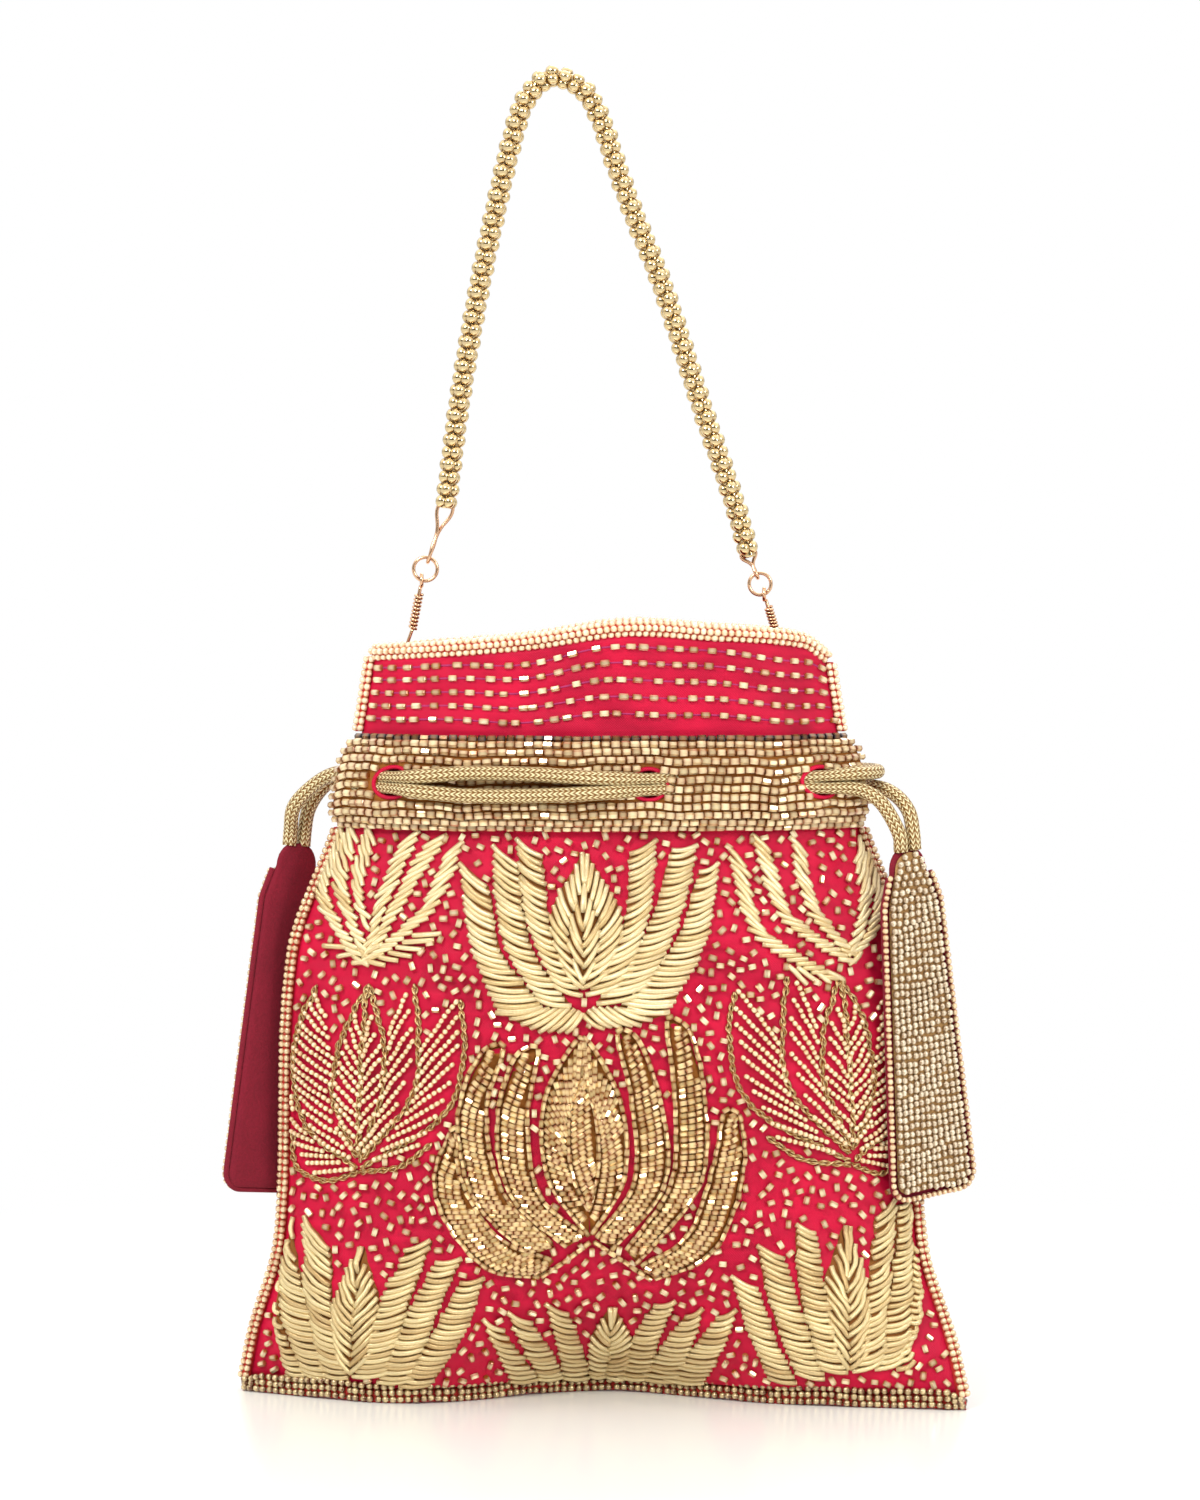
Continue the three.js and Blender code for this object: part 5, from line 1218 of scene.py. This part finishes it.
def inside_petal(petal):
    """Places spread over a petal."""
    left, right = (spread(edge, 120) for edge in petal_edges(petal, 0.4))
    s = np.linspace(0, 1, 40)[:, None, None]
    return (left * (1 - s) + right * s).reshape(-1, 2)


for petal in TOP_MIDDLE + LOW_LEFT + LOW_MIDDLE + LOW_RIGHT + BEADED_PETALS + [MIDDLE_LEAF]:
    cover(inside_petal(petal))
for axis, turn in TOP_LEFT + TOP_RIGHT:
    for aside in (-1.6, -0.8, 0, 0.8, 1.6):
        cover(drawn_line(axis, 0.3) + [aside, 0])
drawn_flat = [drawn_line(drawn, 0.3) for drawn in ZARI_LINES]
for flat in drawn_flat + [inside_petal(petal) for petal in STRUNG_PETALS]:
    cover(flat)
    cover(mirrored(flat))
for _ in range(3):
    grown = covered.copy()
    grown[1:] |= covered[:-1]
    grown[:-1] |= covered[1:]
    grown[:, 1:] |= covered[:, :-1]
    grown[:, :-1] |= covered[:, 1:]
    covered = grown

dice = np.random.default_rng(81)
kept = np.empty((0, 2))
for x, height in dice.uniform([-96, 6], [96, 156.5], (30000, 2)):
    if abs(x) > through(HALF_WIDTHS, height) * 0.985 - 0.6 or covered[cells((x, height))]:
        continue
    if len(kept) == 0 or np.min(np.sum((kept - (x, height)) ** 2, axis=1)) > BEAD_SPACE ** 2:
        kept = np.vstack([kept, (x, height)])


def scattered_beads(word, side, angle, height, seed):
    """Single beads stitched down at all angles."""
    lay = dice.uniform(0, 2 * math.pi, len(angle))
    east = pouch(angle + 0.01, height, side, 0.0) - pouch(angle - 0.01, height, side, 0.0)
    north = pouch(angle, height + 0.5, side, 0.0) - pouch(angle, height - 0.5, side, 0.0)
    east, north = (v / np.linalg.norm(v, axis=1, keepdims=True) for v in (east, north))
    way = east * np.cos(lay)[:, None] + north * np.sin(lay)[:, None]
    bead_piece(word + "_scattered_beads", CUT_BEAD, on_silk(angle, height, side, 0.85), way,
               lift_off(angle, height, side), pale_tube_bead, seed, length=2.35, radius=0.82,
               slot="gold_beads")


angle = np.arcsin(kept[:, 0] / through(HALF_WIDTHS, kept[:, 1]))
scattered_beads("front", FRONT, angle, kept[:, 1], 82)
spots = np.array([(across + 0.055 * (row % 2), 16 + 9 * row)
                  for row in range(16) for across in np.arange(-0.93, 0.95, 0.11)])
spots = spots[np.abs(spots[:, 0]) < 0.96]
angle = np.arcsin(spots[:, 0]) + dice.normal(0, 0.008, len(spots))
height = spots[:, 1] + dice.normal(0, 0.8, len(spots))
scattered_beads("back", BACK, angle, height, 83)


# The two tabs on the drawstring ends: thick red felt, faced with close rows of silvery gold seed beads
# and bound with a bead row. Both strands of a cord are caught in a tab's round top.
TAB_FOOT = 88.0
TAB_BEAD = 1.72
TAB_BEAD_ROWS = 48
tab_seed = bead_glass("tab_seed_bead", "f6e8ca", "94704a", 0.75, 0.35, 1.0)
tab_ground = woven_cloth("tab_ground", "8a6238", "b8905c", 1800.0, 0.4, 0.7, 0.0)
red_felt, tree, output = new_material("red_felt")
spot = node(tree, "TexCoord").outputs["Object"]
fluff = node(tree, "TexNoise", Vector=spot, Scale=1400.0, Detail=3.0)
tone_mix = node(tree, "TexNoise", Vector=spot, Scale=120.0, Detail=2.0)
bump = node(tree, "Bump", Strength=0.5, Distance=0.0004, Height=fluff.outputs["Fac"])
cover_colour = mixed(tree, sum_up(tree, "MULTIPLY_ADD", fluff.outputs["Fac"], 0.6, sum_up(
    tree, "MULTIPLY", tone_mix.outputs["Fac"], 0.4)), dye("5c0216"), dye("8e0c2a"))
felt = node(tree, "BsdfPrincipled", Base_Color=cover_colour, Roughness=0.95, Normal=bump.outputs[0])
tree.links.new(felt.outputs[0], output.inputs["Surface"])


def tab_half(z):
    """Half the width of a tab's face at each height below its round top."""
    z = np.asarray(z, float)
    dome = np.sqrt(np.maximum(25 - np.maximum(z, 0) ** 2, 0))
    shoulder = 5 - np.clip(z, -9, 0) / 3
    side = 4.2 * np.clip((-9 - z) / 76, 0, 1)
    foot = 3 - np.sqrt(np.maximum(9 - np.maximum(-85 - z, 0) ** 2, 0))
    return np.where(z > 0, dome, shoulder + side - foot)


def tab_plate(grow, front, back):
    """A plate in a tab's outline between two depths, its edge rounded over."""
    down = np.concatenate([5 * np.cos(np.linspace(0.05, math.pi / 2, 8)), np.linspace(-2, -84, 40),
                           -85 - 3 * np.sin(np.linspace(0, 1.5, 7))])[::-1]
    z, u = np.meshgrid(down, np.linspace(-1, 1, 25), indexing="ij")
    x = (tab_half(z) + grow) * u
    tall = z + grow * np.where(z > 0, z / 5, np.where(z < -85, (z + 85) / 3, 0))
    ends = np.clip(np.minimum(5.2 - z, z + 88.2) / 1.2, 0, 1)
    round_over = np.sqrt(np.clip(1 - np.abs(u) ** 10, 0.05, 1)) * np.sqrt(np.maximum(ends, 0.05))
    thick = (back - front) / 2 * round_over
    middle = (back + front) / 2
    return np.stack([x, middle - thick, tall], -1), np.stack([x, middle + thick, tall], -1)


for hand, seed in [("right", 91), ("left", 92)]:
    dice = np.random.default_rng(seed)
    body = hand + "_tab"
    turned_frame = tab_frame(hand)
    for part, grow, front, back, material, slot in [("felt", 1.3, -0.1, 1.6, red_felt, "red_felt"),
                                                    ("face", 0.2, -0.75, -0.05, tab_ground, "gold_beads")]:
        outer, inner = tab_plate(grow, front, back)
        points, faces = sheet_between(on_tab(hand, outer), on_tab(hand, inner))
        sheet = make_piece(f"{hand}_tab_{part}_cloth", points, faces, material, body=body,
                           node_names=[f"{hand}_tab_{part}"], slot=slot)
    spots = []
    for number, z in enumerate(np.linspace(4.2, 0.4 - TAB_FOOT, TAB_BEAD_ROWS)):
        reach = float(tab_half(z)) - (0.9 if z > 0 else 0.55)
        count = max(int(2 * reach / TAB_BEAD), 1)
        x = np.linspace(-reach, reach, count) if count > 1 else np.zeros(1)
        bend = 0.35 * np.sin(x * 0.22 + number * 0.6) + dice.normal(0, 0.16, count)
        spots.append(np.stack([x + dice.normal(0, 0.14, count), np.full(count, -1.15), z + bend], -1))
    spots = on_tab(hand, np.concatenate(spots))
    bead_piece(f"{hand}_tab_beads", SEED_BEAD, spots, np.broadcast_to(turned_frame[:, 0], spots.shape),
               np.broadcast_to(-turned_frame[:, 1], spots.shape), tab_seed, seed, length=TAB_BEAD,
               radius=0.98, body=body, slot="gold_beads")
    rise = np.linspace(-1, -84, 60)
    corner = np.linspace(0, math.pi / 2, 8)[1:-1]
    right_side = np.stack([tab_half(rise) + 1.9, rise], -1)
    right_foot = np.stack([9.2 + 4.9 * np.cos(corner), -85 - 4.9 * np.sin(corner)], -1)
    half = np.concatenate([right_side, right_foot, np.stack([np.linspace(9, 0.5, 8), np.full(8, -89.9)], -1)])
    ring = np.concatenate([half, (half * [-1, 1])[::-1]])
    flat = smooth_run(np.stack([ring[:, 0], np.full(len(ring), 0.1), ring[:, 1]], -1), 0.7)
    line = on_tab(hand, flat)
    way = np.gradient(line, axis=0)
    out = np.cross(way, turned_frame[:, 1])
    out = out / np.linalg.norm(out, axis=1, keepdims=True)
    out = out * np.sign(np.sum(out * (line - on_tab(hand, [(0, 0, -45)])), axis=1, keepdims=True))
    beaded_edge(f"{hand}_tab", f"{hand}_tab_edging", line, out, -turned_frame[:, 1],
                [(0.0, 0.8)], ROUND_CORE * 0.8, side_seed, seed + 2, length=1.7, radius=0.85, body=body,
                strip=red_felt)


# The handle: a gold popcorn chain, pressed from strip as staggered rows of small hollow domes round a
# tube. It hangs in a tall loop over the mouth and swings on two wire rings.
CHAIN_ROUTE = [(-42.3, 245), (-38.5, 274), (-33.1, 305), (-28.9, 325), (-24.2, 345), (-20.1, 357),
               (-13.2, 363), (-4.7, 359.5), (0, 351.6), (4.1, 339.6), (9.5, 324.7), (16.3, 308),
               (28.8, 270), (33.8, 255.6), (37.9, 243), (41, 231.5)]
DOME_ROW = 3.4
DOMES_ROUND = 4
DOME_END = [(-0.5, 0.28), (-0.4, 0.66), (-0.2, 0.92)]
DOME = tube_shape(10, DOME_END + [(0.0, 1.0)] + [(-place, radius) for place, radius in DOME_END[::-1]])


def polished(name, colour, painted_shade, roughness):
    """Gold plate, with painted shade where other metal is close."""
    plate, tree, output = new_material(name)
    close = node(tree, "AmbientOcclusion", {"samples": 4}, Distance=0.0012).outputs["AO"]
    # Ambient occlusion pulls the colour towards the darker colour: painted shade between the domes, the links
    # and the wire turns.
    tint = mixed(tree, sum_up(tree, "POWER", close, 1.6), dye(painted_shade), dye(colour))
    metal = node(tree, "BsdfPrincipled", Base_Color=tint, Metallic=1.0, Roughness=roughness)
    tree.links.new(metal.outputs[0], output.inputs["Surface"])
    return plate


chain_gold = polished("chain_gold", "ecd3a0", "6e4418", 0.14)
line = smooth_run([(x, max(z - 245, 0) * math.tan(math.radians(2)), z) for x, z in CHAIN_ROUTE], 0.6)
points, faces, _, _ = tube_along(line, 1.9, 12)
make_piece("chain_tube", points, faces, chain_gold, body="handle", node_names=["handle_chain"],
           slot="gold_chain")
at, way, _ = walk(line, DOME_ROW)
way = way / np.linalg.norm(way, axis=1, keepdims=True)
facing = np.cross(way, (0, 1, 0))
facing = facing / np.linalg.norm(facing, axis=1, keepdims=True)
beyond = np.cross(way, facing)
places, ways, outs = [], [], []
for k in range(len(at)):
    for j in range(DOMES_ROUND):
        turn = (j + 0.5 * (k % 2) + 0.35) / DOMES_ROUND * 2 * math.pi
        out = facing[k] * math.cos(turn) + beyond[k] * math.sin(turn)
        places.append(at[k] + out * 1.6)
        ways.append(way[k] + 0.1 * np.cross(way[k], out))
        outs.append(out)
points, faces = strew(DOME, np.array(places), frames_along(np.array(ways), np.array(outs)),
                      np.full(len(places), 3.5), np.full(len(places), 1.65))
make_piece("chain_domes", points, faces, chain_gold, body="handle", slot="gold_chain")


# The wire fittings at each foot of the handle: a link bent like an 8 joins the chain's end to a ring;
# the ring hangs in the eye of a wire that is coiled round itself and runs down, doubled, into the frill.
rose_wire = polished("rose_gold_wire", "efc39c", "9c5f3a", 0.22)
WIRE = 0.5
HOOK_FOOT = 196.0
COIL_TURNS = 9


def circle(centre, a, b, radius, count=40):
    turn = np.arange(count) / count * 2 * math.pi
    return centre + radius * (np.cos(turn)[:, None] * a + np.sin(turn)[:, None] * b)


def flat_run(points):
    return [np.array([x, 0.0, z]) for x, z in points]


for word, hand, eye, ring_radius, coil_top, coil_foot, chain_end in [
    ("left", -1, (-48.9, 225.2), 3.25, (-49.6, 221.4), (-51.4, 212), (-42.3, 245)),
    ("right", 1, (45, 221.4), 3.0, (46.2, 217.8), (48.6, 210), (41, 231.5)),
]:
    eye, coil_top, coil_foot, chain_end = flat_run([eye, coil_top, coil_foot, chain_end])
    along = (chain_end - eye) / np.linalg.norm(chain_end - eye)
    ring_line = circle(eye + along * ring_radius, np.array([1.0, 0, 0]), np.array([0, 0, 1.0]), ring_radius)
    low = eye + along * (2 * ring_radius - 1.3)
    high = chain_end + along * 2
    middle, reach = (low + high) / 2, np.linalg.norm(high - low) / 2
    turn = np.arange(48) / 48 * 2 * math.pi
    quarter = np.radians(75) * (1 - step(np.cos(turn), -0.5, 0.3))[:, None]
    aside = np.cross(along, (0, 1, 0)) * np.cos(quarter) + np.array([0, 1.0, 0]) * np.sin(quarter)
    behind = np.cross(along, aside)
    half_width = (1.5 + 0.6 * step(np.cos(turn), 0, 0.6)) * np.sin(2 * turn)
    loop = (middle + np.cos(turn)[:, None] * along * reach + half_width[:, None] * aside
            + 0.55 * np.sin(turn)[:, None] * behind)
    for kind, wire_line in [("ring", ring_line), ("link", loop)]:
        points, faces, _, _ = tube_along(wire_line, WIRE, 10, loops=True)
        make_piece(f"{word}_{kind}_wire", points, faces, rose_wire, body="handle",
                   node_names=[f"{word}_{kind}"], slot="gold_wire")
    shaft = (coil_foot - coil_top) / np.linalg.norm(coil_foot - coil_top)
    eye_line = circle(eye, np.array([0, 1.0, 0]), np.array([0, 0, 1.0]), 1.6)
    tubes = [tube_along(eye_line, WIRE, 8, loops=True)]
    tubes.append(tube_along(np.linspace(eye + shaft * 1.5, coil_foot + shaft * 0.5, 12), WIRE, 8))
    wind = np.linspace(0, 1, 190)[:, None]
    turn = wind * COIL_TURNS * 2 * math.pi
    round_shaft = np.cos(turn) * np.cross(shaft, (0, 1, 0)) + np.sin(turn) * np.array([0, 1.0, 0])
    coil = coil_top * (1 - wind) + coil_foot * wind + 0.88 * round_shaft
    tubes.append(tube_along(coil, 0.42, 7))
    foot = np.array([hand * (float(through(HALF_WIDTHS, HOOK_FOOT)) - 5.1), 0, HOOK_FOOT])
    for aside in (-0.48, 0.48):
        tail = smooth_run([coil_foot, (coil_foot + foot) / 2 + np.array([hand * -0.6, 0, 0.5]), foot], 0.8)
        tubes.append(tube_along(tail + np.array([0, aside, 0]), 0.45, 7))
    points, faces = join_up(tubes)
    make_piece(word + "_hook_wire", points, faces, rose_wire, node_names=[word + "_hook"], slot="gold_wire")
